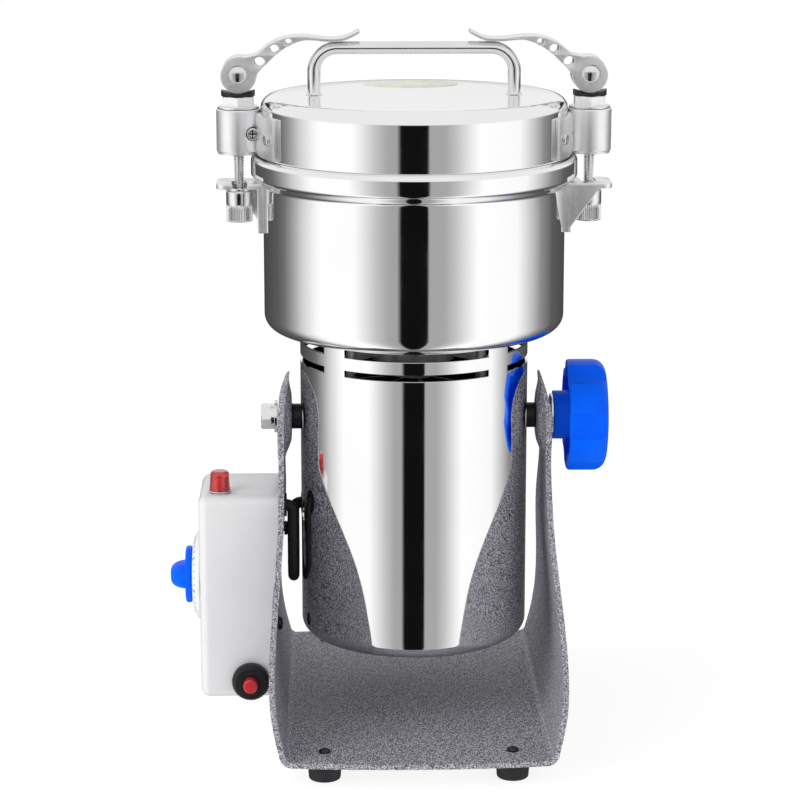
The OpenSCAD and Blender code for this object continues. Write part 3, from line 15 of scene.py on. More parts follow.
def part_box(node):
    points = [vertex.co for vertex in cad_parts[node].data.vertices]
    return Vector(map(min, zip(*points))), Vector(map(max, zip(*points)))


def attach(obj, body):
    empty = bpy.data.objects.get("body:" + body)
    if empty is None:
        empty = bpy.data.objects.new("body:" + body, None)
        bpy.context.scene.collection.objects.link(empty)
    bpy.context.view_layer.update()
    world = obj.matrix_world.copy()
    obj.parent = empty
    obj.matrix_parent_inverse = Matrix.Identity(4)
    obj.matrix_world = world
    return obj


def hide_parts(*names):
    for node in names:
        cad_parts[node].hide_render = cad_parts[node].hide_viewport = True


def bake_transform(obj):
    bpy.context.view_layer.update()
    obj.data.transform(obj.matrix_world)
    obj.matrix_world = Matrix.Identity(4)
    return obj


bl_info = {
    "name": "Tilting Grain Mill",
    "version": (1, 0, 0),
    "blender": (4, 5, 0),
    "location": "View3D > Sidebar > Grain Mill",
    "description": "Dresses a tilting grain mill: stand, control box, motor housing, bowl, lid and clamps",
    "category": "Object",
}

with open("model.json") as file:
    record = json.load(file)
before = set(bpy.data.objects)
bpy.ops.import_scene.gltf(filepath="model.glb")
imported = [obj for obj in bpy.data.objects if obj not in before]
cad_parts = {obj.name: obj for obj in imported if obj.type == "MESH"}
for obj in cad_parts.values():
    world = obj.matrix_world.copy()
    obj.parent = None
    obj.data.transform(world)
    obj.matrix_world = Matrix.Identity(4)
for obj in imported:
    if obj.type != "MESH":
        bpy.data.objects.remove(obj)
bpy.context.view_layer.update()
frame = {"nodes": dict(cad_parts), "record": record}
MM = 0.001
QUARTER = math.pi / 2
HOUSING_LOW, HOUSING_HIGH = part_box("motor_housing")
AXIS_X = (HOUSING_LOW.x + HOUSING_HIGH.x) / 2


def span(node):
    """Lowest and highest corner of a CAD node, in millimetres from the mill's axis."""
    low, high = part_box(node)
    shift = Vector((AXIS_X, 0, 0))
    return (low - shift) / MM, (high - shift) / MM


def height(node):
    """Lowest and highest height of a CAD node, in millimetres."""
    low, high = span(node)
    return low.z, high.z


def middle(node):
    """Centre of a CAD node, in millimetres from the mill's axis."""
    low, high = span(node)
    return (low + high) / 2


def size(node):
    """Size of a CAD node along each axis, in millimetres."""
    low, high = span(node)
    return high - low


PIVOT_Z = middle("knob_washer").z
PLATE_Z = height("base_yoke")[0]
BOWL_Z, RIM_Z = height("grinding_bowl")
PIN_R = size("rod_left").x / 2
PIN_Z = height("rod_left")[1] - PIN_R
CLAMP_X = -middle("rod_left").x
BUSH_X = span("pivot_bushes")[1].x
# Bores on the tilt axis, inner ends of the threaded pads, and where the motor lead runs
BORE_R = 4.06
PAD_X = 54
LEAD_DROP = 53
LEAD_Y = 12
ORIGIN = Matrix.Identity(4)
SIDES = (("left", False), ("right", True))


# Lines


def arc(across, up, radius, start, end, steps=8):
    """Points of an arc round (across, up), angles in degrees."""
    turns = [start + (end - start) * i / steps for i in range(steps + 1)]
    return [(across + x, up + y) for x, y in (polar(radius, t) for t in turns)]


def polar(radius, degrees):
    """The point at a radius and an angle."""
    return radius * math.cos(math.radians(degrees)), radius * math.sin(math.radians(degrees))


def eased(share):
    """A smooth step from 0 to 1."""
    return math.sin(QUARTER * share) ** 2


def flowing(points, steps):
    """A smooth line through the given points, as tuples of any length."""
    last = len(points) - 1
    out = []
    for i in range(last):
        p, q, r, s = (points[max(0, min(last, i + k))] for k in (-1, 0, 1, 2))
        for k in range(steps):
            t = k / steps
            out.append(tuple(
                0.5 * (2 * b + (c - a) * t + (2 * a - 5 * b + 4 * c - d) * t ** 2
                       + (3 * b - a - 3 * c + d) * t ** 3)
                for a, b, c, d in zip(p, q, r, s)))
    return out + [tuple(points[last])]


def place(x=0, y=0, z=0, along="Z", spin=0):
    """Where a turned piece stands: its own axis lies along +Z, -Z, +X, -X, +Y or -Y."""
    turns = {
        "Z": ORIGIN,
        "-Z": Matrix.Rotation(math.pi, 4, "X"),
        "X": Matrix.Rotation(QUARTER, 4, "Y"),
        "-X": Matrix.Rotation(-QUARTER, 4, "Y"),
        "Y": Matrix.Rotation(-QUARTER, 4, "X"),
        "-Y": Matrix.Rotation(QUARTER, 4, "X"),
    }
    return Matrix.Translation((x, y, z)) @ turns[along] @ Matrix.Rotation(math.radians(spin), 4, "Z")


def at_clamp(right, z=0, y=0, along="Z"):
    """Where a piece of a clamp stands. The right clamp is the left one turned half round the mill."""
    turn = Matrix.Rotation(math.pi, 4, "Z") if right else ORIGIN
    return turn @ place(-CLAMP_X, y, z, along)


# Meshes


def linked(name, data):
    """A new object in the scene."""
    made = bpy.data.objects.new(name, data)
    bpy.context.scene.collection.objects.link(made)
    return made


class Shape:
    """Collects the points and faces of one piece."""

    def __init__(self):
        self.points = []
        self.faces = []

    def add(self, points, faces, at=ORIGIN):
        """Adds points, and faces that count from the first of them."""
        start = len(self.points)
        self.points += [at @ Vector(p) for p in points]
        self.faces += [tuple(start + i for i in face) for face in faces]
        return self

    def grid(self, rows, at=ORIGIN, closed=False, skip=()):
        """A sheet over rows of points. closed joins the last column to the first; skip leaves quads out."""
        wide = len(rows[0])
        columns = wide if closed else wide - 1
        faces = [
            (i * wide + k, i * wide + (k + 1) % wide, (i + 1) * wide + (k + 1) % wide, (i + 1) * wide + k)
            for i in range(len(rows) - 1) for k in range(columns) if (i, k) not in skip]
        return self.add([p for row in rows for p in row], faces, at)

    def turned(self, line, at=ORIGIN, steps=96, solid=False, ripple=None):
        """A line of (radius, height) turned round its axis. solid joins its end to its start.
        ripple(angle, radius, height) gives the radius there."""
        line = list(line) + ([line[0]] if solid else [])
        angles = [2 * math.pi * k / steps for k in range(steps)]
        rows = []
        for radius, high in line:
            radii = [ripple(t, radius, high) if ripple else radius for t in angles]
            rows.append([(r * math.cos(t), r * math.sin(t), high) for r, t in zip(radii, angles)])
        return self.grid(rows, at, closed=True)

    def rod(self, radius, low, high, at=ORIGIN, steps=32):
        """A plain round rod between two heights."""
        return self.turned([(0, low), (radius, low), (radius, high), (0, high)], at, steps)

    def prism(self, outline, low, high, at=ORIGIN):
        """A flat outline between two heights."""
        n = len(outline)
        points = [(x, y, low) for x, y in outline] + [(x, y, high) for x, y in outline]
        faces = [tuple(range(n - 1, -1, -1)), tuple(range(n, 2 * n))]
        faces += [(i, (i + 1) % n, n + (i + 1) % n, n + i) for i in range(n)]
        return self.add(points, faces, at)

    def tube(self, path, radius, sides):
        """A round rod along a path, with flat ends."""
        path = [Vector(p) for p in path]
        last = len(path) - 1
        way = [(path[min(i + 1, last)] - path[max(i - 1, 0)]).normalized() for i in range(len(path))]
        side = way[0].orthogonal().normalized()
        rows = []
        for p, d in zip(path, way):
            side = (side - d * side.dot(d)).normalized()
            other = d.cross(side)
            rows.append([
                p + radius * (math.cos(t) * side + math.sin(t) * other)
                for t in (2 * math.pi * k / sides for k in range(sides))])
        self.grid(rows, closed=True)
        self.add(rows[0], [tuple(range(sides - 1, -1, -1))])
        return self.add(rows[-1], [tuple(range(sides))])

    def made(self, name, sharp=35):
        """The mesh object, in metres in the row frame."""
        mesh = bpy.data.meshes.new(name)
        shift = Vector((AXIS_X, 0, 0))
        mesh.from_pydata([tuple(p * MM + shift) for p in self.points], [], self.faces)
        tidy(mesh)
        smooth(mesh, sharp)
        return linked(name, mesh)


def six_sided(corner, bore):
    """A ripple that cuts six flats outside the bore, up to a radius at their corners."""
    sixth = math.pi / 6

    def ripple(t, radius, up):
        flat = corner * math.cos(sixth) / math.cos((t + sixth) % (2 * sixth) - sixth)
        return min(radius, flat) if radius > bore else radius
    return ripple


def fluted(count, where, deep=0.45):
    """A ripple of so many flutes, on the points that where(radius, up) picks."""
    def ripple(t, radius, up):
        return radius - deep * (0.5 + 0.5 * math.cos(count * t)) if where(radius, up) else radius
    return ripple


def tidy(mesh):
    """Joins points that meet, drops faces with no area and turns every face outwards."""
    work = bmesh.new()
    work.from_mesh(mesh)
    bmesh.ops.remove_doubles(work, verts=work.verts, dist=2e-6)
    bmesh.ops.dissolve_degenerate(work, edges=work.edges, dist=1e-7)
    bmesh.ops.recalc_face_normals(work, faces=work.faces)
    work.to_mesh(mesh)
    work.free()


def smooth(mesh, sharp=35):
    """Smooth shading with hard edges above an angle in degrees."""
    mesh.polygons.foreach_set("use_smooth", [True] * len(mesh.polygons))
    mesh.set_sharp_from_angle(angle=math.radians(sharp))
    mesh.update()


def settle(piece, sharp=35):
    """Turns a piece's modifiers into its mesh."""
    graph = bpy.context.evaluated_depsgraph_get()
    mesh = bpy.data.meshes.new_from_object(piece.evaluated_get(graph))
    piece.modifiers.clear()
    piece.data = mesh
    smooth(mesh, sharp)
    return piece


def cut_by(piece, *tools, join=False):
    """Cuts the tools out of a piece, or joins them to it, and removes them."""
    for tool in tools:
        change = piece.modifiers.new("cut", "BOOLEAN")
        change.operation = "UNION" if join else "DIFFERENCE"
        change.solver = "EXACT"
        change.object = tool
        settle(piece)
        bpy.data.objects.remove(tool)
    return piece


def rounded(piece, width, steps=2, angle=35, sharp=35):
    """Rounds the hard edges of a piece, width in millimetres."""
    change = piece.modifiers.new("edges", "BEVEL")
    change.width = width * MM
    change.segments = steps
    change.limit_method = "ANGLE"
    change.angle_limit = math.radians(angle)
    return settle(piece, sharp)


BODY_OF = {node: body for body, nodes in frame["record"]["behaviour"]["bodies"].items() for node in nodes}
SLOT_OF = {part["node"]: part["material_slot"] for part in frame["record"]["subparts"]}


def worn(piece, finish, *nodes, body=None, slot=None):
    """Gives a piece its finish and its body, and hides the CAD nodes that it stands for; slot is not used.
    """
    piece.data.materials.clear()
    piece.data.materials.append(finish_for(finish))
    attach(piece, body or BODY_OF[nodes[0]])
    slot or (SLOT_OF[nodes[0]] if nodes else finish)
    if nodes:
        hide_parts(*nodes)
    return piece


def softened(node, width=0.3, steps=2, angle=30, sharp=35, finish=None):
    """A copy of a CAD node with its hard edges rounded, in its finish. It stands for the node."""
    mesh = frame["nodes"][node].data.copy()
    work = bmesh.new()
    work.from_mesh(mesh)
    bmesh.ops.remove_doubles(work, verts=work.verts, dist=2e-6)
    bmesh.ops.dissolve_limit(work, angle_limit=math.radians(0.5), verts=work.verts, edges=work.edges)
    bmesh.ops.recalc_face_normals(work, faces=work.faces)
    work.to_mesh(mesh)
    work.free()
    piece = rounded(linked(node + "_dressed", mesh), width, steps, angle, sharp)
    return worn(piece, finish or SLOT_OF[node], node)


# Materials


class Nodes:
    """A small hand for building a tree of shader nodes."""

    def __init__(self, tree):
        self.tree = tree

    def feed(self, socket, value):
        """Links a socket to an output of another node, or sets its plain value."""
        if isinstance(value, bpy.types.NodeSocket):
            self.tree.links.new(value, socket)
        else:
            socket.default_value = value

    def node(self, kind, output, settings=(), **inputs):
        """Adds a node with its settings, feeds its inputs and returns one output."""
        made = self.tree.nodes.new("ShaderNode" + kind)
        for key, value in settings:
            setattr(made, key, value)
        for key, value in inputs.items():
            self.feed(made.inputs[key.replace("_", " ")], value)
        return made.outputs[output]

    def ramp(self, value, *stops):
        """Colours at places from 0 to 1 along a value."""
        made = self.tree.nodes.new("ShaderNodeValToRGB")
        band = made.color_ramp.elements
        while len(band) < len(stops):
            band.new(0.5)
        for stop, (at, colour) in zip(band, stops):
            stop.position = at
            stop.color = (*colour, 1)
        self.feed(made.inputs["Fac"], value)
        return made.outputs["Color"]


class Finish(Nodes):
    """One procedural material."""

    def __init__(self, name):
        self.material = bpy.data.materials.new(name)
        self.material.use_nodes = True
        super().__init__(self.material.node_tree)
        self.shader = self.tree.nodes["Principled BSDF"]
        self.place = self.node("TexCoord", "Object")

    def set(self, **values):
        """Feeds sockets of the shader, each named with _ for its blanks."""
        for key, value in values.items():
            self.feed(self.shader.inputs[key.replace("_", " ")], value)

    def noise(self, scale, detail=2, rough=0.5, stretch=(1, 1, 1)):
        """Noise of so many lumps a metre, as a value from 0 to 1."""
        at = self.node("Mapping", "Vector", Vector=self.place, Scale=stretch)
        return self.node("TexNoise", "Fac", Vector=at, Scale=scale, Detail=detail, Roughness=rough)

    def wave(self, scale, distortion=0):
        """Bands along the height, as a value from 0 to 1."""
        upright = [("bands_direction", "Z")]
        return self.node("TexWave", "Fac", upright, Vector=self.place, Scale=scale, Distortion=distortion)

    def mottled(self, colour, low, high, scale, detail=3):
        """The base colour, a little darker and paler in patches."""
        stops = (0.3, shade_of(colour, low)), (0.7, shade_of(colour, high))
        self.set(Base_Color=self.ramp(self.noise(scale, detail), *stops))

    def rough(self, value, low, high):
        """Roughness spread from low to high along a value."""
        ends = {"From_Min": 0.3, "From_Max": 0.7, "To_Min": low, "To_Max": high}
        self.set(Roughness=self.node("MapRange", "Result", Value=value, **ends))

    def bump(self, value, strength, deep):
        """Relief, deep in millimetres."""
        self.set(Normal=self.node("Bump", "Normal", Height=value, Strength=strength, Distance=deep * MM))


def shade_of(colour, share):
    """A colour made darker or paler."""
    return tuple(min(1, c * share) for c in colour)


def metal(name, colour, rough_low, rough_high, grain=40, stretch=(1, 1, 1), relief=0.0, metallic=1.0):
    """A metal whose polish varies a little, with faint wiping marks."""
    f = Finish(name)
    f.set(Metallic=metallic)
    f.mottled(colour, 0.97, 1.02, grain)
    f.rough(f.noise(grain * 4, 4, 0.6, stretch), rough_low, rough_high)
    if relief:
        f.bump(f.noise(900, 2, 0.5, stretch), 0.15, relief)
    return f.material


def moulded(name, colour, rough_low, rough_high, coat=0.0, relief=0.01, shine=0.5, glow=0.0):
    """A moulded plastic or rubber with a fine skin. glow is the share of light that goes under it."""
    f = Finish(name)
    f.set(Subsurface_Weight=glow, Subsurface_Scale=0.006, Subsurface_Radius=(0.4, 0.7, 1.0))
    f.set(IOR=1.48, Specular_IOR_Level=shine, Coat_Weight=coat, Coat_Roughness=0.05)
    f.mottled(colour, 0.93, 1.05, 90)
    f.rough(f.noise(300, 3), rough_low, rough_high)
    f.bump(f.noise(1400, 3), 0.3, relief)
    return f.material


def hammered_paint(name, light, dark):
    """Hammertone paint: pale specks on a darker ground, with a pebbled skin."""
    f = Finish(name)
    speck = f.noise(1500, 2, 0.6, (1, 0.4, 1))
    f.set(Base_Color=f.ramp(speck, (0.38, dark), (0.5, shade_of(light, 0.42)), (0.62, light)))
    f.set(IOR=1.5, Specular_IOR_Level=0.35)
    f.rough(speck, 0.45, 0.6)
    f.bump(speck, 0.25, 0.08)
    return f.material


def enamel(name, colour):
    """Smooth satin paint with a slight orange skin."""
    f = Finish(name)
    f.set(IOR=1.5, Coat_Weight=0.3, Coat_Roughness=0.12)
    f.mottled(colour, 0.98, 1.01, 60)
    f.rough(f.noise(180, 2), 0.32, 0.4)
    f.bump(f.noise(380, 2), 0.2, 0.02)
    return f.material


def clear_red(name, colour):
    """Clear red lamp cover."""
    f = Finish(name)
    f.set(IOR=1.49, Transmission_Weight=0.85, Coat_Weight=0.6, Coat_Roughness=0.03)
    f.mottled(colour, 0.9, 1.1, 200, 2)
    f.rough(f.noise(200, 2), 0.05, 0.12)
    return f.material


def laminated(name, colour):
    """Stacked sheet steel: thin dark lines between the sheets."""
    f = Finish(name)
    sheets = f.wave(300)
    f.set(Metallic=0.7)
    f.set(Base_Color=f.ramp(sheets, (0.1, shade_of(colour, 0.45)), (0.4, colour)))
    f.rough(f.noise(300, 2), 0.4, 0.6)
    f.bump(sheets, 0.4, 0.1)
    return f.material


def wound(name, colour):
    """Enamelled copper wire, wound in fine turns."""
    f = Finish(name)
    turns = f.wave(220, 1.5)
    f.set(Metallic=0.8)
    f.set(Base_Color=f.ramp(turns, (0.1, shade_of(colour, 0.4)), (0.5, colour)))
    f.rough(f.noise(300, 2), 0.25, 0.4)
    f.bump(turns, 0.6, 0.2)
    return f.material


FINISHES = {}


def finish_for(slot):
    """The material of a slot of the record, made once."""
    if slot not in FINISHES:
        c = bpy.context.scene.mill_colours
        makers = {
            "painted_grey": lambda n: hammered_paint(n, c.paint_light, c.paint_dark),
            "black_rubber": lambda n: moulded(n, c.black, 0.6, 0.75, relief=0.03),
            "polished_steel": lambda n: metal(n, c.polished, 0.035, 0.075, 9),
            "bright_steel": lambda n: metal(n, c.bright, 0.1, 0.2, 60, (1, 1, 6), 0.004),
            "satin_steel": lambda n: metal(n, c.satin, 0.3, 0.38, 120, relief=0.004, metallic=0.85),
            "zinc_screws": lambda n: metal(n, c.zinc, 0.22, 0.34, 120, relief=0.01),
            # A near-black finish that paints shade: on the housing's inner faces, and round and in the front
            # barrel screws' cross recesses.
            "dark_inside": lambda n: moulded(n, (0.004, 0.004, 0.004), 0.8, 0.9, shine=0.1),
            "black_screws": lambda n: metal(n, (0.05, 0.05, 0.055), 0.25, 0.35, 120),
            "box_enamel": lambda n: enamel(n, c.box),
            "dial_white": lambda n: moulded(n, c.dial, 0.35, 0.45),
            "blue_plastic": lambda n: moulded(n, c.knob, 0.3, 0.38, relief=0.006, shine=0.08, glow=0.35),
            "lamp_red": lambda n: clear_red(n, c.lamp),
            "button_red": lambda n: moulded(n, c.button, 0.25, 0.35, coat=0.4),
            "black_plastic": lambda n: moulded(n, c.black, 0.3, 0.42, relief=0.015, shine=0.3),
            "cast_aluminium": lambda n: metal(n, (0.62, 0.63, 0.65), 0.35, 0.5, 300, relief=0.05),
            "lamination": lambda n: laminated(n, (0.36, 0.36, 0.38)),
            "copper_wire": lambda n: wound(n, (0.75, 0.36, 0.16)),
            "brass_parts": lambda n: metal(n, (0.82, 0.62, 0.26), 0.2, 0.32, 100),
            "blade_steel": lambda n: metal(n, (0.72, 0.73, 0.75), 0.16, 0.3, 80, (8, 1, 1), 0.01),
            "silicone": lambda n: moulded(n, (0.86, 0.86, 0.83), 0.45, 0.6),
            "ivory_plastic": lambda n: moulded(n, (0.80, 0.76, 0.62), 0.4, 0.5),
            "label_cream": lambda n: moulded(n, c.label, 0.4, 0.5, relief=0.004),
            "dial_ink": lambda n: moulded(n, (0.05, 0.05, 0.06), 0.4, 0.5),
        }
        FINISHES[slot] = makers[slot](slot + "_finish")
    return FINISHES[slot]


# Settings


def length(name, description, millimetres):
    """A setting for a length."""
    return bpy.props.FloatProperty(
        name=name, description=description, default=millimetres * MM, min=0,
        subtype="DISTANCE", unit="LENGTH")


def colour(name, description, value):
    """A setting for a colour."""
    return bpy.props.FloatVectorProperty(
        name=name, description=description, default=value, size=3, min=0, max=1, subtype="COLOR")


class MillColours(bpy.types.PropertyGroup):
    """Colours of the mill's finishes"""

    paint_light: colour("Paint specks", "Pale specks of the stand's paint", (0.60, 0.59, 0.66))
    paint_dark: colour("Paint ground", "Dark ground of the stand's paint", (0.045, 0.045, 0.057))
    box: colour("Control box", "Paint of the control box", (0.74, 0.74, 0.75))
    dial: colour("Dial", "Plate behind the timer knob", (0.80, 0.81, 0.82))
    knob: colour("Knobs", "Blue of the star knob and the timer knob", (0.0, 0.125, 1.0))
    lamp: colour("Lamp", "Red of the lamp", (0.92, 0.04, 0.04))
    button: colour("Button", "Red of the reset button", (0.5, 0.02, 0.025))
    black: colour("Black parts", "Feet, bushes, grommets and the ring nut", (0.012, 0.012, 0.014))
    polished: colour("Polished steel", "Housing, bowl and lid", (0.90, 0.90, 0.905))
    bright: colour("Bright steel", "Clamps, handle and bolts", (0.80, 0.80, 0.81))
    satin: colour("Satin steel", "Levers, barrels and caps of the clamps", (0.86, 0.86, 0.87))
    zinc: colour("Screws", "Small screws and nuts", (0.62, 0.62, 0.63))
    label: colour("Label", "Blank label on the lid", (0.93, 0.93, 0.78))


STAND_Y = span("base_yoke")[1].y
STAND_BOW = 4


class MillStand(bpy.types.PropertyGroup):
    """Sizes of the bent sheet stand"""

    sheet: length("Sheet", "Thickness of the bent sheet", 3)
    half_depth: length("Half depth", "Half of the stand's depth at its corners", STAND_Y - STAND_BOW)
    bow: length("Bow", "How far the front and back edges bow out", STAND_BOW)
    bend: length("Bend", "Outer radius of the bend between plate and arm", 7)
    corner: length("Corner", "Radius of the stand's corners seen from above", 10)
    neck: length("Neck", "Half width of an arm at its neck", 24)
    ear: length("Ear", "Radius of the dished ear", 25)
    edge: length("Edge", "Rounding of the sheet's edges", 0.9)


class MillBox(bpy.types.PropertyGroup):
    """Sizes of the control box"""

    wall: length("Wall", "Thickness of the shell", 2)
    edge: length("Edge", "Radius of the box's edges", 5)
    dial: length("Dial", "Radius of the dial plate", 25)
    knob: length("Knob", "Radius of the timer knob", 16)
    grip: length("Grip", "Height of the timer knob's grip", 8.7)
    lens: length("Lamp", "Radius of the lamp's lens", 5.8)


class MillMetal(bpy.types.PropertyGroup):
    """Sizes of the housing, the bowl and the lid"""

    wall: length("Wall", "Thickness of bowl, lid and housing", 1.5)
    housing_bend: length("Housing bend", "Radius at the housing's lower edge", 8)
    bowl_bend: length("Bowl bend", "Radius at the bowl's lower edge", 8.5)
    bead: length("Bead", "How far the rim stands out from the bowl", 6.5)
    shoulder: length("Shoulder", "Radius of the lid's shoulder", 7)
    rod: length("Handle rod", "Radius of the handle's rod", 3.5)
    handle_bend: length("Handle bend", "Radius of the handle's bends", 12.5)


class MillClamps(bpy.types.PropertyGroup):
    """Sizes of the clamps"""

    rod: length("Rod", "Radius of the threaded rods", 3)
    pitch: length("Thread", "Rise of the thread in one turn", 1.5)
    reach: length("Lever", "Reach of a lever from its pin", 67)
    lever: length("Lever width", "Width of a lever", 14)


# Stand

# The ears stand out from the arms by a step, and the arms bulge out between ear and plate
EAR_DEEP = 7.7
EAR_STEP = 0.4
EAR_GAP = 0.1
ARM_BULGE = 4.2
ARM_BULGE_RISE = 42.5
ARM_TURN_IN = 7.3
ARM_STRAIGHT_SHARE = 0.736
ARM_END_DROP = 6
# Hub and dish of an ear, and how it gets thinner above a place over the pivot
EAR_HUB = 11
EAR_DISH = 3.9
EAR_TAPER_FROM = 4
EAR_TAPER_SHARE = 0.72


def arm_x(z):
    """Outer face of an arm at height z, seen from the front: turned in below, bulging, then straight."""
    top = BUSH_X + EAR_DEEP - EAR_STEP
    bulge = ARM_BULGE + EAR_STEP
    bulge_z = PLATE_Z + ARM_BULGE_RISE
    straight = PLATE_Z + (PIVOT_Z - PLATE_Z) * ARM_STRAIGHT_SHARE
    if z < bulge_z:
        return top + bulge - ARM_TURN_IN * ((bulge_z - z) / (bulge_z - PLATE_Z)) ** 2
    if z < straight:
        return top + bulge * math.cos(QUARTER * (z - bulge_z) / (straight - bulge_z)) ** 2
    return top


def arm_half(z, s):
    """Half width of an arm at height z, seen from the side."""
    top, low = PIVOT_Z - s.ear / MM, PLATE_Z + s.sheet / MM
    share = min(1, max(0, (top - z) / (top - low)))
    return (s.neck + (s.half_depth - s.neck) * math.sin(QUARTER * share) ** 1.2) / MM


def bent_sheet(s):
    """Plate and arms as one sheet, bent up on both sides."""
    half, bend, sheet, corner = s.half_depth / MM, s.bend / MM, s.sheet / MM, s.corner / MM
    bend_z = PLATE_Z + bend
    bend_x = arm_x(bend_z) - bend
    rise = PIVOT_Z - ARM_END_DROP - bend_z
    heights = [bend_z + rise * i / 44 for i in range(1, 45)]
    flat = [bend_x * i / 20 for i in range(20)]

    def profile(inward):
        """Right half of the sheet's outline, on its outer face or inward of it."""
        return ([(x, PLATE_Z + inward) for x in flat] + arc(bend_x, bend_z, bend - inward, -90, 0, 10)
                + [(arm_x(z) - inward, z) for z in heights])

    outer, inner = profile(0), profile(sheet)
    flat_x = max(x for x, z in outer) + 1 - corner

    def reach(x, z):
        """Half of the sheet's depth where it passes (x, z)."""
        plan = half + s.bow / MM * (1 - (x / flat_x) ** 2)
        if x > flat_x:
            plan = half - corner + math.sqrt(max(0.01, corner ** 2 - (x - flat_x) ** 2))
        return min(plan, arm_half(z, s)) if z > PLATE_Z + sheet else plan

    outer = [(-x, z) for x, z in outer[:0:-1]] + outer
    inner = [(-x, z) for x, z in inner[:0:-1]] + inner
    depth = [reach(abs(x), z) for x, z in outer]
    ring = list(zip(outer + inner[::-1], depth + depth[::-1]))
    across = [math.sin(QUARTER * (i - 12) / 12) for i in range(25)]
    rows = [[(x, share * d, z) for (x, z), d in ring] for share in across]
    body = Shape().grid(rows, closed=True)
    n = len(outer)
    quads = [(i, i + 1, 2 * n - 2 - i, 2 * n - 1 - i) for i in range(n - 1)]
    return body.add(rows[0], quads).add(rows[-1], [q[::-1] for q in quads])


def dished_ears(ear_r):
    """The two dished ears, thinner towards their tops."""
    ear_in = BUSH_X + EAR_GAP
    ear_out = ear_in + EAR_DEEP
    dish = [(EAR_HUB + (ear_r - EAR_HUB) * i / 12, ear_in + EAR_DISH * eased(i / 12)) for i in range(13)]
    soft = 1.2
    line = [(0, ear_in)] + dish + arc(ear_r - soft, ear_out - soft, soft, 0, 90, 5) + [(0, ear_out)]
    ears = []
    for way in ("X", "-X"):
        ear = Shape().turned(line, place(0, 0, PIVOT_Z, way), 96)
        for p in ear.points:
            up = max(0, (p.z - PIVOT_Z - EAR_TAPER_FROM) / (ear_r - EAR_TAPER_FROM))
            thin = 1 - EAR_TAPER_SHARE * up ** 1.3
            p.x = math.copysign(ear_in + (abs(p.x) - ear_in) * thin, p.x)
        ears.append(ear.made("ear"))
    return ears


class MILL_OT_stand(bpy.types.Operator):
    """Bent sheet stand with its ears, feet and screws"""

    bl_idname = "mill.stand"
    bl_label = "Stand"

    def execute(self, context):
        s = context.scene.mill_stand
        yoke = bent_sheet(s).made("stand_yoke")
        cut_by(yoke, *dished_ears(s.ear / MM), join=True)
        past_ears = BUSH_X + EAR_GAP + EAR_DEEP + 4
        grommet = middle("arm_grommet")
        holes = Shape().rod(BORE_R, -past_ears, past_ears, place(0, 0, PIVOT_Z, "X"), 48)
        holes.rod(5, 0, 14, place(-arm_x(grommet.z) - 5, grommet.y, grommet.z, "X"), 48)
        cut_by(yoke, holes.made("holes"))
        worn(rounded(yoke, s.edge / MM, 3, 50, 40), "painted_grey", "base_yoke")

        foot_r, foot_h = 10, PLATE_Z
        corner = span("rubber_feet")[1]
        line = [(1.8, 4.2), (5.2, 4.2), (5.2, 0.3)] + arc(5.5, 0.3, 0.3, 180, 270, 3)
        line += arc(7.4, 1.2, 1.2, -90, 0, 6) + [(8.9, foot_h * 0.45), (9.2, foot_h * 0.55)]
        line += [(foot_r, foot_h - 0.6), (9.8, foot_h - 0.1), (9.6, foot_h), (1.8, foot_h)]
        feet = Shape()
        for x in (foot_r - corner.x, corner.x - foot_r):
            for y in (foot_r - corner.y, corner.y - foot_r):
                feet.turned(line, place(x, y), 64, solid=True)
        worn(feet.made("feet"), "black_rubber", "rubber_feet")
        softened("stand_screws", 0.2)
        return {"FINISHED"}


# Control box


def rounded_block(low, high, radius, steps=5):
    """A block whose edges are all rounded, in millimetres."""
    base = [(low[0], low[1]), (high[0], low[1]), (high[0], high[1]), (low[0], high[1])]
    return rounded(Shape().prism(base, low[2], high[2]).made("block"), radius, steps, 30)


class MILL_OT_control_box(bpy.types.Operator):
    """Shell of the control box with its back plate and gland"""

    bl_idname = "mill.control_box"
    bl_label = "Control Box"

    def execute(self, context):
        s = context.scene.mill_box
        wall, edge = s.wall / MM, s.edge / MM
        low, high = span("control_box")
        shell = rounded_block(low, (0, high.y, high.z), edge, 8)
        room_low = low + Vector((wall, wall, wall))
        room = rounded_block(room_low, (10, high.y - wall, high.z - wall), edge - 1)
        past = 8
        heights = [low.z - past + (high.z - low.z + 2 * past) * i / 30 for i in range(31)]
        outline = [(-arm_x(max(z, PLATE_Z)) - 0.2, z) for z in heights]
        outline += [(20, heights[-1]), (20, heights[0])]
        side = Shape().prism(outline, -40, 40, Matrix.Rotation(QUARTER, 4, "X")).made("side")
        lamp, ring, gland = (middle(n) for n in ("indicator_lamp", "breaker_ring", "mains_gland"))
        timer_hole, lamp_hole, breaker_hole, gland_hole, deep = 4, 4.8, 7, 6, 4
        holes = Shape()
        for hole_r, at in (
                (timer_hole, place(low.x, 0, middle("dial_plate").z, "X")),
                (lamp_hole, place(lamp.x, lamp.y, high.z)),
                (breaker_hole, place(ring.x, low.y, ring.z, "Y")),
                (gland_hole, place(gland.x, high.y, gland.z, "Y"))):
            holes.rod(hole_r, -deep, deep, at)
        cut_by(shell, room, side, holes.made("holes"))
        shell.name = "control_box_shell"
        worn(rounded(shell, 0.4, 2, 50), "box_enamel", "control_box")
        softened("box_back", 0.3)
        softened("mains_gland", 0.4)
        return {"FINISHED"}


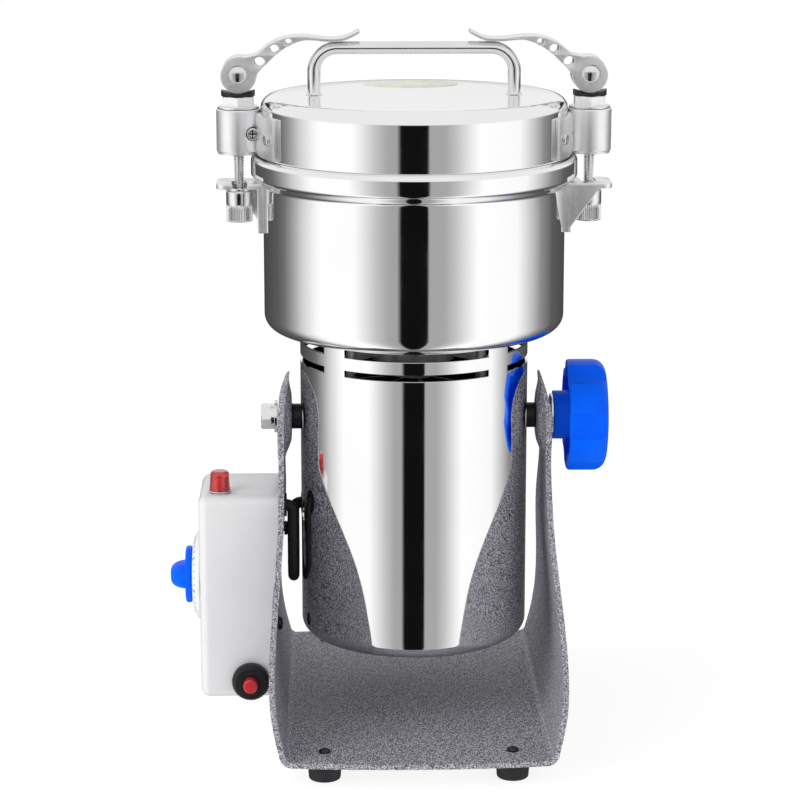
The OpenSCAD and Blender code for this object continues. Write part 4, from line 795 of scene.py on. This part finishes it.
class MILL_OT_timer(bpy.types.Operator):
    """Timer: dial plate with its marks, and its winged knob"""

    bl_idname = "mill.timer"
    bl_label = "Timer"

    def execute(self, context):
        s = context.scene.mill_box
        low, high = span("dial_plate")
        dial_r, knob_r, grip = s.dial / MM, s.knob / MM, s.grip / MM
        dial_z = (low.z + high.z) / 2
        face, edge = high.x - low.x, 1.6
        turn = place(high.x, 0, dial_z, "-X")

        def rise(radius):
            """Height of the dial's slope at a radius."""
            share = (dial_r - radius) / (dial_r - knob_r)
            return edge + (face - edge) * math.sin(QUARTER * max(0, min(1, share)))

        line = [(4, 0), (dial_r - 0.4, 0), (dial_r, 0.4), (dial_r, 1.2), (dial_r - 0.2, edge)]
        line += [(r, rise(r)) for r in (dial_r - (dial_r - knob_r) * i / 12 for i in range(1, 13))]
        plate = Shape().turned(line + [(4, face)], turn, 128, solid=True).made("dial")
        worn(plate, "dial_white", "dial_plate")

        marks, ink, step, half_sweep = Shape(), 0.08, 10, 150
        for angle in range(-half_sweep, half_sweep + 1, step):
            long = angle % (5 * step) == 0
            near, far = dial_r - (5.6 if long else 3.6), dial_r - 2.2
            wide = 0.35 if long else 0.2
            way = Vector((*polar(1, angle), 0))
            side = Vector((-way.y, way.x, 0)) * wide
            rows = []
            for r in (near + (far - near) * k / 3 for k in range(4)):
                rows.append([way * r + side * q + Vector((0, 0, rise(r) + ink)) for q in (-1, 1)])
            marks.grid(rows, turn)
        worn(marks.made("dial_marks"), "dial_ink", body="stand", slot="black_plastic")

        turn = place(low.x - 0.3, 0, dial_z, "-X")
        skirt = 3.6
        line = [(0, 0)] + arc(knob_r - 1.2, 1.2, 1.2, -90, 0, 5)
        line += arc(knob_r - 1.4, skirt - 1.4, 1.4, 0, 90, 6) + [(0, skirt)]
        knob = Shape().turned(line, turn, 96)
        rows = []
        for v in (-1 + i / 24 for i in range(49)):
            nose = (1 - abs(v) ** 2.6) ** 0.75
            wide = 2.6 + 4.6 * math.sqrt(max(0, 1 - v * v))
            rows.append([
                (wide * u, (knob_r - 3.2) * v, skirt - 0.3 + (grip + 0.3) * nose * (1 - abs(u) ** 4) ** 0.6)
                for u in (-1 + k / 16 for k in range(33))])
        knob.grid(rows, turn)
        knob.rod(3, -24, 0.4, turn)
        worn(knob.made("timer_grip", 50), "blue_plastic", "timer_knob")
        return {"FINISHED"}


class MILL_OT_lamp_and_breaker(bpy.types.Operator):
    """Pilot lamp, breaker with its ring nut, and reset button"""

    bl_idname = "mill.lamp_and_breaker"
    bl_label = "Lamp and Breaker"

    def execute(self, context):
        lamp, seat = middle("indicator_lamp"), height("control_box")[1]
        at = place(lamp.x, lamp.y, seat)
        lens_r = context.scene.mill_box.lens / MM
        tall = height("indicator_lamp")[1] - seat
        line = [(0, 1.2), (lens_r, 1.2), (lens_r, 2.4), (lens_r - 0.3, 2.7)]
        line += arc(lens_r - 2.5, tall - 1.8, 1.8, 0, 90, 8) + [(0, tall)]
        worn(Shape().turned(line, at, 64).made("lamp_lens"), "lamp_red", "indicator_lamp")
        line = [(0, -14), (4.7, -14), (4.7, 0)] + arc(lens_r - 0.1, 0.6, 0.5, -60, 90, 5)
        line += [(3.4, 1.3), (3.2, tall - 3.6), (0, tall - 3)]
        worn(Shape().turned(line, at, 64).made("lamp_collar"), "zinc_screws", body="stand")

        low, high = span("breaker_ring")
        ring, deep, ring_r = middle("breaker_ring"), high.y - low.y, (high.x - low.x) / 2
        knurls = fluted(44, lambda radius, up: radius > ring_r - 0.9 and up < deep - 0.4)
        line = [(7, 0)] + arc(8.2, 0.8, 0.8, -90, -20, 4) + [(9.2, 1.0), (ring_r - 0.7, 1.3)]
        line += [(ring_r, 2.2), (ring_r, deep - 0.5), (ring_r - 0.3, deep), (7, deep)]
        nut = Shape().turned(line, place(ring.x, low.y, ring.z, "Y"), 352, solid=True, ripple=knurls)
        worn(nut.made("breaker_nut", 50), "black_plastic", "breaker_ring")
        softened("breaker_body", 0.3)
        low, high = span("reset_button")
        deep = high.y - low.y
        line = [(0, 0), (0.6, 0.02), (1.6, 0.12)] + arc(2.8, 1.2, 1.2, -80, 0, 6) + [(4, deep), (0, deep)]
        cap = Shape().turned(line, place(ring.x, low.y, ring.z, "Y"), 64)
        worn(cap.made("reset_cap"), "button_red", "reset_button")
        return {"FINISHED"}


# Mill


class MILL_OT_motor_lead(bpy.types.Operator):
    """Lead that hangs between the arm and the swinging housing, with its grommets"""

    bl_idname = "mill.motor_lead"
    bl_label = "Motor Lead"

    def execute(self, context):
        low, high = span("motor_lead")
        radius, bend, half = 3.2, 4.2, LEAD_Y
        arm_z, housing_z = middle("arm_grommet").z, PIVOT_Z - LEAD_DROP
        lead_x = 67.6
        base = low.z + radius + half
        path = [(low.x, -half, arm_z), (low.x / 2 - (lead_x + bend) / 2, -half, arm_z)]
        path += [(-x, -half, z) for x, z in arc(lead_x + bend, arm_z - bend, bend, 90, 180, 8)]
        path += [(-lead_x, -half, arm_z - bend + (base - arm_z + bend) * i / 8) for i in range(1, 8)]
        path += [(-lead_x, y, z) for y, z in arc(0, base, half, 180, 360, 20)]
        path += [(-lead_x, half, base + (housing_z - bend - base) * i / 6) for i in range(1, 6)]
        path += [(-x, half, z) for x, z in arc(lead_x - bend, housing_z - bend, bend, 0, 90, 8)]
        path += [(high.x - 4, half, housing_z), (high.x, half, housing_z)]
        lead = Shape().tube(path, radius, 32).made("lead", 60)
        lead.data.materials.append(finish_for("black_rubber"))
        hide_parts("motor_lead")
        route = [((AXIS_X + x * MM), y * MM, z * MM) for x, y, z in path]
        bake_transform(lead)
        total = sum((Vector(b) - Vector(a)).length for a, b in zip(route, route[1:]))
        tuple(route[0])
        softened("arm_grommet", 0.25)
        softened("housing_grommet", 0.2)
        return {"FINISHED"}


# Foot and top of each row of slots below the bowl, the rows of points that guard them, and half their angle
SLOTS = ((18, 14.3), (7.5, 3))
SLOT_GUARD = 0.6
SLOT_HALF = 38.5


class MILL_OT_housing(bpy.types.Operator):
    """Polished motor housing with its air slots"""

    bl_idname = "mill.housing"
    bl_label = "Motor Housing"

    def execute(self, context):
        s = context.scene.mill_metal
        wall, bend = s.wall / MM, s.housing_bend / MM
        low, high = span("motor_housing")
        radius = (high.x - low.x) / 2
        opening = 48
        line = [(opening, low.z), (opening + 3.5, low.z)]
        line += arc(radius - bend, low.z + bend, bend, -90, 0, 14)
        straight = BOWL_Z - SLOTS[0][0] - low.z - bend
        line += [(radius, low.z + bend + straight * i / 10) for i in range(1, 10)]
        guards = [down for foot, top in SLOTS for down in (foot + SLOT_GUARD, foot, top, top - SLOT_GUARD)]
        line += [(radius, BOWL_Z - down) for down in guards + [0]]
        rows = [[(*polar(r, k), z) for k in range(360)] for r, z in line]
        slot_rows = (len(line) - 8, len(line) - 4)
        skip = {
            (i, k) for i in slot_rows for k in range(360)
            if abs((k + 45) % 90 - 45) < SLOT_HALF and abs((k + 46) % 90 - 45) < SLOT_HALF + 0.4}
        shell = Shape().grid(rows, closed=True, skip=skip).made("housing_shell")
        change = shell.modifiers.new("wall", "SOLIDIFY")
        change.thickness = wall * MM
        change.offset = -1
        settle(shell)
        pads, holes = Shape(), Shape()
        pad_r, outer, past = 13, radius - 1, radius + 5
        pad = [(BORE_R, PAD_X), (pad_r, PAD_X), (pad_r, outer), (BORE_R, outer)]
        for way in ("X", "-X"):
            pads.turned(pad, place(0, 0, PIVOT_Z, way), 48, solid=True)
            holes.rod(BORE_R, radius - 5, past, place(0, 0, PIVOT_Z, way), 40)
        holes.rod(4, radius - 5, past, place(0, -LEAD_Y, PIVOT_Z - LEAD_DROP, "-X"), 40)
        cut_by(shell, holes.made("holes"))
        worn(rounded(shell, 0.25, 2, 50, 30), "polished_steel", "motor_housing")
        # The inner faces of the housing shell get the near-black finish: painted shade inside the housing,
        # seen through the slots.
        shell.data.materials.append(finish_for("dark_inside"))
        for face in shell.data.polygons:
            outwards = face.normal.x * (face.center.x - AXIS_X) + face.normal.y * face.center.y
            if outwards < -0.3 * MM * radius:
                face.material_index = 1
        worn(pads.made("housing_pads"), "cast_aluminium", body="mill")
        softened("bottom_cover", sharp=15)
        softened("pivot_bushes", 0.4)
        return {"FINISHED"}


class MILL_OT_bowl(bpy.types.Operator):
    """Grinding bowl with its rolled rim, and the clamp hooks"""

    bl_idname = "mill.bowl"
    bl_label = "Bowl"

    def execute(self, context):
        s = context.scene.mill_metal
        wall, bend, bead = s.wall / MM, s.bowl_bend / MM, s.bead / MM
        rim = size("grinding_bowl").x / 2
        radius = rim - bead
        step, flare = RIM_Z - 17, 7
        bend_z, floor_z = BOWL_Z + bend, BOWL_Z + wall
        lip = size("lid").x / 2 + 0.6
        line = [(11, BOWL_Z), (30, BOWL_Z), (60, BOWL_Z)] + arc(radius - bend, bend_z, bend, -90, 0, 18)
        line += [(radius, bend_z + (step - bend_z) * i / 6) for i in range(1, 6)]
        line += [(radius + bead * eased(i / 16), step + flare * i / 16) for i in range(17)]
        line += arc(rim - 3, RIM_Z - 3, 3, 0, 90, 12)
        line += [(lip, RIM_Z), (lip, RIM_Z - wall)] + arc(rim - wall - 1.5, RIM_Z - 3, 1.5, 90, 0, 5)
        downwards = [1 - i / 10 for i in range(11)]
        line += [(radius - wall + bead * eased(share), step + 1 + flare * share) for share in downwards]
        line += arc(radius - bend, bend_z, bend - wall, 0, -90, 12) + [(60, floor_z), (11, floor_z)]
        shell = Shape().turned(line, steps=320, solid=True).made("bowl_shell", 28)
        holes = Shape()
        for spin in range(4):
            holes.rod(2.5, -3, 3, place(*polar(34, 90 * spin), BOWL_Z + 1))
        cut_by(shell, holes.made("holes"))
        smooth(shell.data, 28)
        worn(shell, "polished_steel", "grinding_bowl")
        softened("clamp_ears", 0.45, 3, finish="satin_steel")
        softened("bowl_screws", 0.15)
        return {"FINISHED"}


class MILL_OT_lid(bpy.types.Operator):
    """Lid with its shoulder, blank label, gasket and handle"""

    bl_idname = "mill.lid"
    bl_label = "Lid"

    def execute(self, context):
        s = context.scene.mill_metal
        wall, bend, rod, turn = s.wall / MM, s.shoulder / MM, s.rod / MM, s.handle_bend / MM
        low, high = span("lid")
        radius, top = (high.x - low.x) / 2, high.z
        line = [(radius - wall, low.z), (radius, low.z)]
        line += [(radius, low.z + (top - bend - low.z) * i / 6) for i in range(1, 6)]
        line += arc(radius - bend, top - bend, bend, 0, 90, 18) + [(60, top), (30, top), (0, top)]
        line += [(0, top - wall), (60, top - wall)] + arc(radius - bend, top - bend, bend - wall, 90, 0, 10)
        shell = Shape().turned(line, steps=320, solid=True).made("lid_shell", 28)
        worn(shell, "polished_steel", "lid")
        softened("lid_gasket")

        high = span("lid_handle")[1]
        side, bar = high.x - rod, high.z - rod
        leg = bar - turn
        path = [(-side, 0, top), (-side, 0, (top + leg) / 2)]
        path += [(x, 0, z) for x, z in arc(turn - side, leg, turn, 180, 90, 16)]
        path += [(side * i / 6, 0, bar) for i in range(-3, 4)]
        path += [(x, 0, z) for x, z in arc(side - turn, leg, turn, 90, 0, 16)]
        path += [(side, 0, (top + leg) / 2), (side, 0, top)]
        handle = Shape().tube(path, rod, 40)
        weld = [(rod - 0.2, 0)] + arc(rod + 1.3, 1.35, 1.3, 270, 180, 6)
        for x in (-side, side):
            handle.turned(weld, place(x, 0, top), 48)
        worn(handle.made("handle", 60), "bright_steel", "lid_handle")

        oval = [(26.7 * x - 0.6, 50.8 + 16 * y) for x, y in (polar(1, 3.75 * i) for i in range(96))]
        label = rounded(Shape().prism(oval, top, top + 0.25).made("lid_label"), 0.08, 2, 50)
        worn(label, "label_cream", body="lid", slot="dial_white")
        return {"FINISHED"}


# Clamps and tilt axis


class MILL_OT_clamps(bpy.types.Operator):
    """Clamp barrels with their straps, screws, caps and cam seats"""

    bl_idname = "mill.clamps"
    bl_label = "Clamps"

    def execute(self, context):
        softened("clamp_saddles", 0.45, 3, finish="satin_steel")
        screws = softened("saddle_screws", 0.2)
        screws.data.materials.append(finish_for("dark_inside"))
        # Painted shade: the front screws of the barrels get a near-black finish round their heads and in
        # their cross recesses.
        screw_x, screw_z = CLAMP_X - 8, middle("saddle_screws").z
        front, recess, head_r, recess_r = -8.4, -10.15, 3.3, 2.4
        for face in screws.data.polygons:
            x, y, z = (face.center - Vector((AXIS_X, 0, 0))) / MM
            away = math.hypot(abs(x) - screw_x, z - screw_z)
            if y < front and (head_r < away < 4.5 or (away < recess_r and y > recess)):
                face.material_index = 1

        low, high = height("barrel_caps")
        hole, edge, flange, corner = 3.3, 11.2, 1.4, 9.6
        tall = high - low - flange
        # Thin near-black rings between each cap and its barrel, standing a little proud of the barrel:
        # painted shade in the gap.
        shade_ring = [(10.4, 0), (11.35, 0), (11.45, 0.25), (11.35, 0.5), (10.4, 0.5)]
        ring = [(hole, 0), (edge - 0.2, 0), (edge, 0.2), (edge, 1.2), (edge - 0.2, flange), (hole, flange)]
        nut = [(hole, 0), (corner, 0), (corner, tall - 1.2), (8.9, tall - 0.4), (8.2, tall), (hole, tall)]
        shade_rings, caps = Shape(), Shape()
        for right in (False, True):
            shade_rings.turned(shade_ring, at_clamp(right, low - 0.25), 72, solid=True)
            caps.turned(ring, at_clamp(right, low), 72, solid=True)
            caps.turned(nut, at_clamp(right, low + flange), 180, solid=True, ripple=six_sided(corner, 4))
        worn(shade_rings.made("barrel_shade_rings"), "black_plastic", body="lid")
        worn(caps.made("caps", 25), "satin_steel", "barrel_caps")
        softened("cam_seats", 0.35, 3)
        return {"FINISHED"}


class MILL_OT_rods(bpy.types.Operator):
    """Threaded rods with their cross pins, washers and knurled nuts"""

    bl_idname = "mill.rods"
    bl_label = "Rods"

    def execute(self, context):
        c = context.scene.mill_clamps
        rod_r, pitch = c.rod / MM, c.pitch / MM
        row = pitch / 12

        def thread(t, radius, up):
            """A thread on the rod's full radius, up to the bowl's rim."""
            if radius < rod_r - 0.01 or up > RIM_Z - 0.5:
                return radius
            wave = abs(((up / pitch - t / (2 * math.pi)) % 1) * 2 - 1)
            return radius - 0.85 * min(1, max(0, 1.3 * wave - 0.15))

        for side, right in SIDES:
            low, high = height("rod_" + side)
            rows = int((RIM_Z - low - 1.2) / row)
            line = [(0, low), (rod_r - 0.9, low), (rod_r - 0.2, low + 0.7)]
            line += [(rod_r, low + 0.7 + row * (i + 1)) for i in range(rows)]
            line += [(rod_r, RIM_Z + 2), (rod_r, high - 0.5), (rod_r - 0.5, high), (0, high)]
            rod = Shape().turned(line, at_clamp(right), 48, ripple=thread)
            long = size("rod_" + side).y
            dome = [(PIN_R * i / 10, 1.1 * (i / 10) ** 2) for i in range(10)]
            pin = dome + [(PIN_R, 1.3), (PIN_R, long - 1.3)] + [(r, long - h) for r, h in dome[::-1]]
            rod.turned(pin, at_clamp(right, PIN_Z, -long / 2, "Y"), 72)
            worn(rod.made("rod_and_pin_" + side, 40), "bright_steel", "rod_" + side)
            softened("washer_" + side, 0.25)

            low, high = height("nut_" + side)
            nut_r, nut_h = size("nut_" + side).y / 2, high - low
            line = [(rod_r + 0.05, 0)] + arc(nut_r - 0.8, 0.8, 0.8, -90, 0, 4)
            line += [(nut_r, nut_h * share) for share in (0.075, 0.2, 0.3, 0.4, 0.5)]
            line += [(nut_r - 0.25, nut_h * 0.53)] + [(nut_r, nut_h * share) for share in (0.56, 0.7, 0.85)]
            line += arc(nut_r - 0.8, nut_h - 0.8, 0.8, 0, 90, 4) + [(rod_r + 0.05, nut_h)]
            flutes = fluted(40, lambda radius, up: radius > nut_r - 0.5 and 0.5 < up < nut_h * 0.52)
            nut = Shape().turned(line, at_clamp(right, low), 320, solid=True, ripple=flutes)
            nut = nut.made("knurled_" + side, 40)
            notch = [(-1, -nut_r - 1), (1, -nut_r - 1), (1, -nut_r + 2), (-1, -nut_r + 2)]
            slot = Shape().prism(notch, nut_h - 8.0, nut_h - 1.6, at_clamp(right, low)).made("slot")
            cut_by(nut, slot)
            worn(nut, "bright_steel", "nut_" + side)
        return {"FINISHED"}


# Middle line, half width and holes (place and radius) of a lever, as shares of its reach
LEVER_LINE = ((0, 0), (0.09, 0.055), (0.184, 0.115), (0.3, 0.212), (0.409, 0.265), (0.52, 0.29),
              (0.62, 0.286), (0.73, 0.275), (0.86, 0.285), (0.98, 0.341))
LEVER_HALF = (0.085, 0.07, 0.057, 0.05, 0.036, 0.0205, 0.0145, 0.014, 0.0138, 0.0125)
LEVER_HOLES = ((0.178, 0.1, 0.042), (0.298, 0.203, 0.037), (0.411, 0.262, 0.0265))


def cam_radius(angle, full=10.4, drop=1.6, start=65, least=150, end=270):
    """Radius of a lever's eye: full under the pin and smaller towards its outer side."""
    if angle >= end or angle < start:
        return full
    if angle >= least:
        return full - drop * (end - angle) / (end - least)
    return full - drop * (angle - start) / (least - start)


class MILL_OT_levers(bpy.types.Operator):
    """The two cam levers, with rounded edges and three holes each"""

    bl_idname = "mill.levers"
    bl_label = "Levers"

    def execute(self, context):
        c = context.scene.mill_clamps
        reach, wide, soft = c.reach / MM, c.lever / MM, 0.4
        line = [Vector(p) * reach for p in flowing(LEVER_LINE, 6)]
        half = [h[0] * reach for h in flowing([(h,) for h in LEVER_HALF], 6)]
        last, first = len(line) - 1, 12
        upper, lower = [], []
        for i in range(first, last + 1):
            way = (line[min(last, i + 1)] - line[i - 1]).normalized()
            out = half[i] * Vector((-way.y, way.x))
            upper.append(line[i] + out)
            lower.append(line[i] - out)
        eye = [polar(cam_radius(a), a) for a in range(66, 361, 3)]
        loops = [upper[::-1] + eye + lower]
        loops += [arc(x * reach, z * reach, r * reach, 0, 351, 39) for x, z, r in LEVER_HOLES]
        curve = bpy.data.curves.new("lever", "CURVE")
        curve.dimensions = "2D"
        curve.fill_mode = "BOTH"
        curve.extrude = (wide / 2 - soft) * MM
        curve.bevel_depth = soft * MM
        curve.bevel_resolution = 4
        curve.offset = -soft * MM * 0.98
        for loop in loops:
            spline = curve.splines.new("POLY")
            spline.points.add(len(loop) - 1)
            for point, (x, z) in zip(spline.points, loop):
                point.co = (x * MM, z * MM, 0, 1)
            spline.use_cyclic_u = True
        drawn = linked("lever", curve)
        bpy.context.view_layer.update()
        graph = bpy.context.evaluated_depsgraph_get()
        flat = bpy.data.meshes.new_from_object(drawn.evaluated_get(graph))
        bpy.data.objects.remove(drawn)

        fork, fork_r = 3.5, 12.4
        u, v = Vector(polar(1, 150)), Vector(polar(1, 60))
        gap = [(fork, -fork_r), (fork, 0), fork * v, fork * v + fork_r * u]
        gap += arc(0, 0, fork_r, 150, 270, 12)
        to_frame = Matrix.Translation((AXIS_X, 0, 0)) @ Matrix.Scale(MM, 4)
        for side, right in SIDES:
            turn = at_clamp(right, PIN_Z, along="-Y")
            mesh = flat.copy()
            mesh.transform(to_frame @ turn @ Matrix.Scale(1 / MM, 4))
            tidy(mesh)
            lever = linked("cam_lever_" + side, mesh)
            bore = Shape().rod(5.06, -wide, wide, turn, 64).made("bore")
            cut_by(lever, bore, Shape().prism(gap, -fork, fork, turn).made("gap"))
            worn(lever, "satin_steel", "lever_" + side)
        return {"FINISHED"}


class MILL_OT_tilt_axis(bpy.types.Operator):
    """Bolt on the left, star knob with its washer on the right"""

    bl_idname = "mill.tilt_axis"
    bl_label = "Tilt Axis"

    def execute(self, context):
        low, high = span("pivot_bolt")
        start = -low.x - 9
        turn = place(-start, 0, PIVOT_Z, "-X")
        bolt = Shape()
        for inner, outer, foot, top in ((4.1, 9, 0, 1.6), (4.1, 7, 1.6, 3.5)):
            washer = [(inner, foot), (outer - 0.2, foot), (outer, foot + 0.2), (outer, top - 0.2)]
            bolt.turned(washer + [(outer - 0.2, top), (inner, top)], turn, 72, solid=True)
        head = [(0, 3.5), (7.5, 3.5), (7.5, 7.9), (6.9, 8.6), (6.3, 9), (5.2, 9), (4.8, 8.7), (0, 8.7)]
        bolt.turned(head, turn, 180, ripple=six_sided(7.5, 3))
        shank_r = 4
        bolt.rod(shank_r, PAD_X - start, 3.6, turn, 48)
        bolt.rod(shank_r, PAD_X, high.x, place(0, 0, PIVOT_Z, "X"), 48)
        worn(bolt.made("bolt", 25), "bright_steel", "pivot_bolt")
        softened("knob_washer", 0.25)
        softened("tilt_knob", 0.8, 3, 40)
        return {"FINISHED"}


class MILL_OT_inner_parts(bpy.types.Operator):
    """Finishes of the CAD nodes: motor, bearings, blades and small parts show as they are"""

    bl_idname = "mill.inner_parts"
    bl_label = "Inner Parts"

    def execute(self, context):
        for name, node in frame["nodes"].items():
            node.data.materials.clear()
            node.data.materials.append(finish_for(SLOT_OF[name]))
        return {"FINISHED"}


# Stage

# The camera was fitted to the picture, which is 800 pixels wide
CAMERA_AIM = Vector((AXIS_X - 7.68 * MM, 0, 185.8 * MM))
CAMERA_AWAY = 1487.2 * MM
CAMERA_UP = math.radians(13.08)
CAMERA_SIDE = math.radians(-1.44)
PICTURE_PIXELS = 800
FOCAL_PIXELS = 2669.6
SUN_FROM = Vector((-0.78, -0.55, 0.42))
SUN_STRENGTH = 1.4
SUN_SPREAD = math.radians(50)
FLOOR_HALF = 4000
FLOOR_GLOW = 0.84
# Sky above the band in reflections, how fast it sets in, and the light on matt surfaces from below and above
SKY_REFLECTED = 0.82
SKY_ONSET = 9.0
REFLECTED_GAIN = 1.12
MATT_LOW, MATT_HIGH = 0.95, 0.5
MATT_ONSET = 1.1
# Brightness of the surroundings by the angle from the front in degrees, with a dark band in front
SURROUNDINGS = (
    (-180, 0.05), (-159, 0.06), (-141, 0.08), (-129, 0.10), (-119, 0.15), (-111, 0.26), (-103, 0.42),
    (-96, 0.62), (-89, 0.76), (-83, 0.90), (-77, 1.0), (-48, 1.0), (-40, 0.80), (-30, 0.54), (-21, 0.38),
    (-13, 0.36), (-12.4, 0.005), (8.5, 0.005), (9.2, 0.38), (21, 0.38), (30, 0.54), (40, 0.80),
    (48, 1.0), (83, 0.95), (96, 0.62), (111, 0.26), (129, 0.10), (160, 0.06), (180, 0.05))


def surroundings():
    """White to the camera, banded in reflections, and soft from above for matt surfaces."""
    world = bpy.data.worlds.new("studio")
    world.use_nodes = True
    world.node_tree.nodes.clear()
    sky = Nodes(world.node_tree)

    def sum_of(operation, *values, clamp=False):
        """The result of a Math node."""
        made = sky.tree.nodes.new("ShaderNodeMath")
        made.operation, made.use_clamp = operation, clamp
        for socket, value in zip(made.inputs, values):
            sky.feed(socket, value)
        return made.outputs[0]

    def mixed(factor, a, b):
        """a where the factor is 0, b where it is 1."""
        return sky.node("Mix", "Result", [("data_type", "FLOAT")], Factor=factor, A=a, B=b)

    way = sky.tree.nodes.new("ShaderNodeSeparateXYZ")
    sky.feed(way.inputs[0], sky.node("TexCoord", "Generated"))
    x, y, z = way.outputs
    turn = sum_of("ARCTAN2", x, sum_of("MULTIPLY", y, -1.0))
    round_about = sum_of("MULTIPLY_ADD", turn, 1 / (2 * math.pi), 0.5)
    band = sky.ramp(round_about, *((at / 360 + 0.5, [value] * 3) for at, value in SURROUNDINGS))
    above = sum_of("MULTIPLY", z, SKY_ONSET, clamp=True)
    reflected = sum_of("MULTIPLY", mixed(above, band, SKY_REFLECTED), REFLECTED_GAIN)
    soft = mixed(sum_of("MULTIPLY", z, MATT_ONSET, clamp=True), MATT_LOW, MATT_HIGH)
    matt = sky.node("LightPath", "Is Diffuse Ray")
    seen = mixed(sky.node("LightPath", "Is Camera Ray"), mixed(matt, reflected, soft), 1.0)
    light = sky.node("Background", "Background", Color=seen)
    sky.feed(sky.tree.nodes.new("ShaderNodeOutputWorld").inputs["Surface"], light)
    return world


class MILL_OT_studio(bpy.types.Operator):
    """Camera, pale floor, white surroundings and soft light"""

    bl_idname = "mill.studio"
    bl_label = "Studio"

    def execute(self, context):
        scene = context.scene
        scene.view_settings.view_transform = "Standard"
        camera = linked("Camera", bpy.data.cameras.new("Camera"))
        scene.camera = camera
        level = math.cos(CAMERA_UP)
        back = Vector((math.sin(CAMERA_SIDE) * level, -math.cos(CAMERA_SIDE) * level, math.sin(CAMERA_UP)))
        camera.location = CAMERA_AIM + CAMERA_AWAY * back
        camera.rotation_euler = back.to_track_quat("Z", "Y").to_euler()
        camera.data.lens = FOCAL_PIXELS / PICTURE_PIXELS * camera.data.sensor_width
        camera.data.clip_start = 0.01

        far = FLOOR_HALF
        floor = Shape().grid([[(-far, y, 0), (far, y, 0)] for y in (-far, far)]).made("floor")
        f = Finish("floor_white")
        f.mottled([0.25] * 3, 0.96, 1.04, 3, 2)
        f.set(Roughness=0.9, Specular_IOR_Level=0.0)
        f.set(Emission_Color=(1, 1, 1, 1), Emission_Strength=FLOOR_GLOW)
        floor.data.materials.append(f.material)
        floor.visible_glossy = False

        lamp = linked("Soft light", bpy.data.lights.new("Soft light", "SUN"))
        lamp.data.energy = SUN_STRENGTH
        lamp.data.angle = SUN_SPREAD
        lamp.rotation_euler = SUN_FROM.to_track_quat("Z", "Y").to_euler()
        lamp.visible_glossy = False
        scene.world = surroundings()
        return {"FINISHED"}


STEPS = (
    MILL_OT_studio, MILL_OT_motor_lead, MILL_OT_stand, MILL_OT_control_box, MILL_OT_timer,
    MILL_OT_lamp_and_breaker, MILL_OT_housing, MILL_OT_bowl, MILL_OT_lid, MILL_OT_clamps,
    MILL_OT_rods, MILL_OT_levers, MILL_OT_tilt_axis, MILL_OT_inner_parts)
GROUPS = {
    "mill_colours": MillColours, "mill_stand": MillStand, "mill_box": MillBox,
    "mill_metal": MillMetal, "mill_clamps": MillClamps}


class MILL_PT_panel(bpy.types.Panel):
    """Sizes, colours and pieces of the grain mill"""

    bl_label = "Grain Mill"
    bl_idname = "MILL_PT_panel"
    bl_space_type = "VIEW_3D"
    bl_region_type = "UI"
    bl_category = "Grain Mill"

    def draw(self, context):
        for key, group in GROUPS.items():
            box = self.layout.box()
            box.label(text=group.__doc__)
            for name in group.__annotations__:
                box.prop(getattr(context.scene, key), name)
        for step in STEPS:
            self.layout.operator(step.bl_idname)


def register():
    for item in (*GROUPS.values(), *STEPS, MILL_PT_panel):
        bpy.utils.register_class(item)
    for key, group in GROUPS.items():
        setattr(bpy.types.Scene, key, bpy.props.PointerProperty(type=group))


def unregister():
    for key in GROUPS:
        delattr(bpy.types.Scene, key)
    for item in reversed((*GROUPS.values(), *STEPS, MILL_PT_panel)):
        bpy.utils.unregister_class(item)


def main():
    """Makes every piece in order."""
    register()
    for step in STEPS:
        group, name = step.bl_idname.split(".")
        getattr(getattr(bpy.ops, group), name)()


if __name__ == "__main__":
    main()
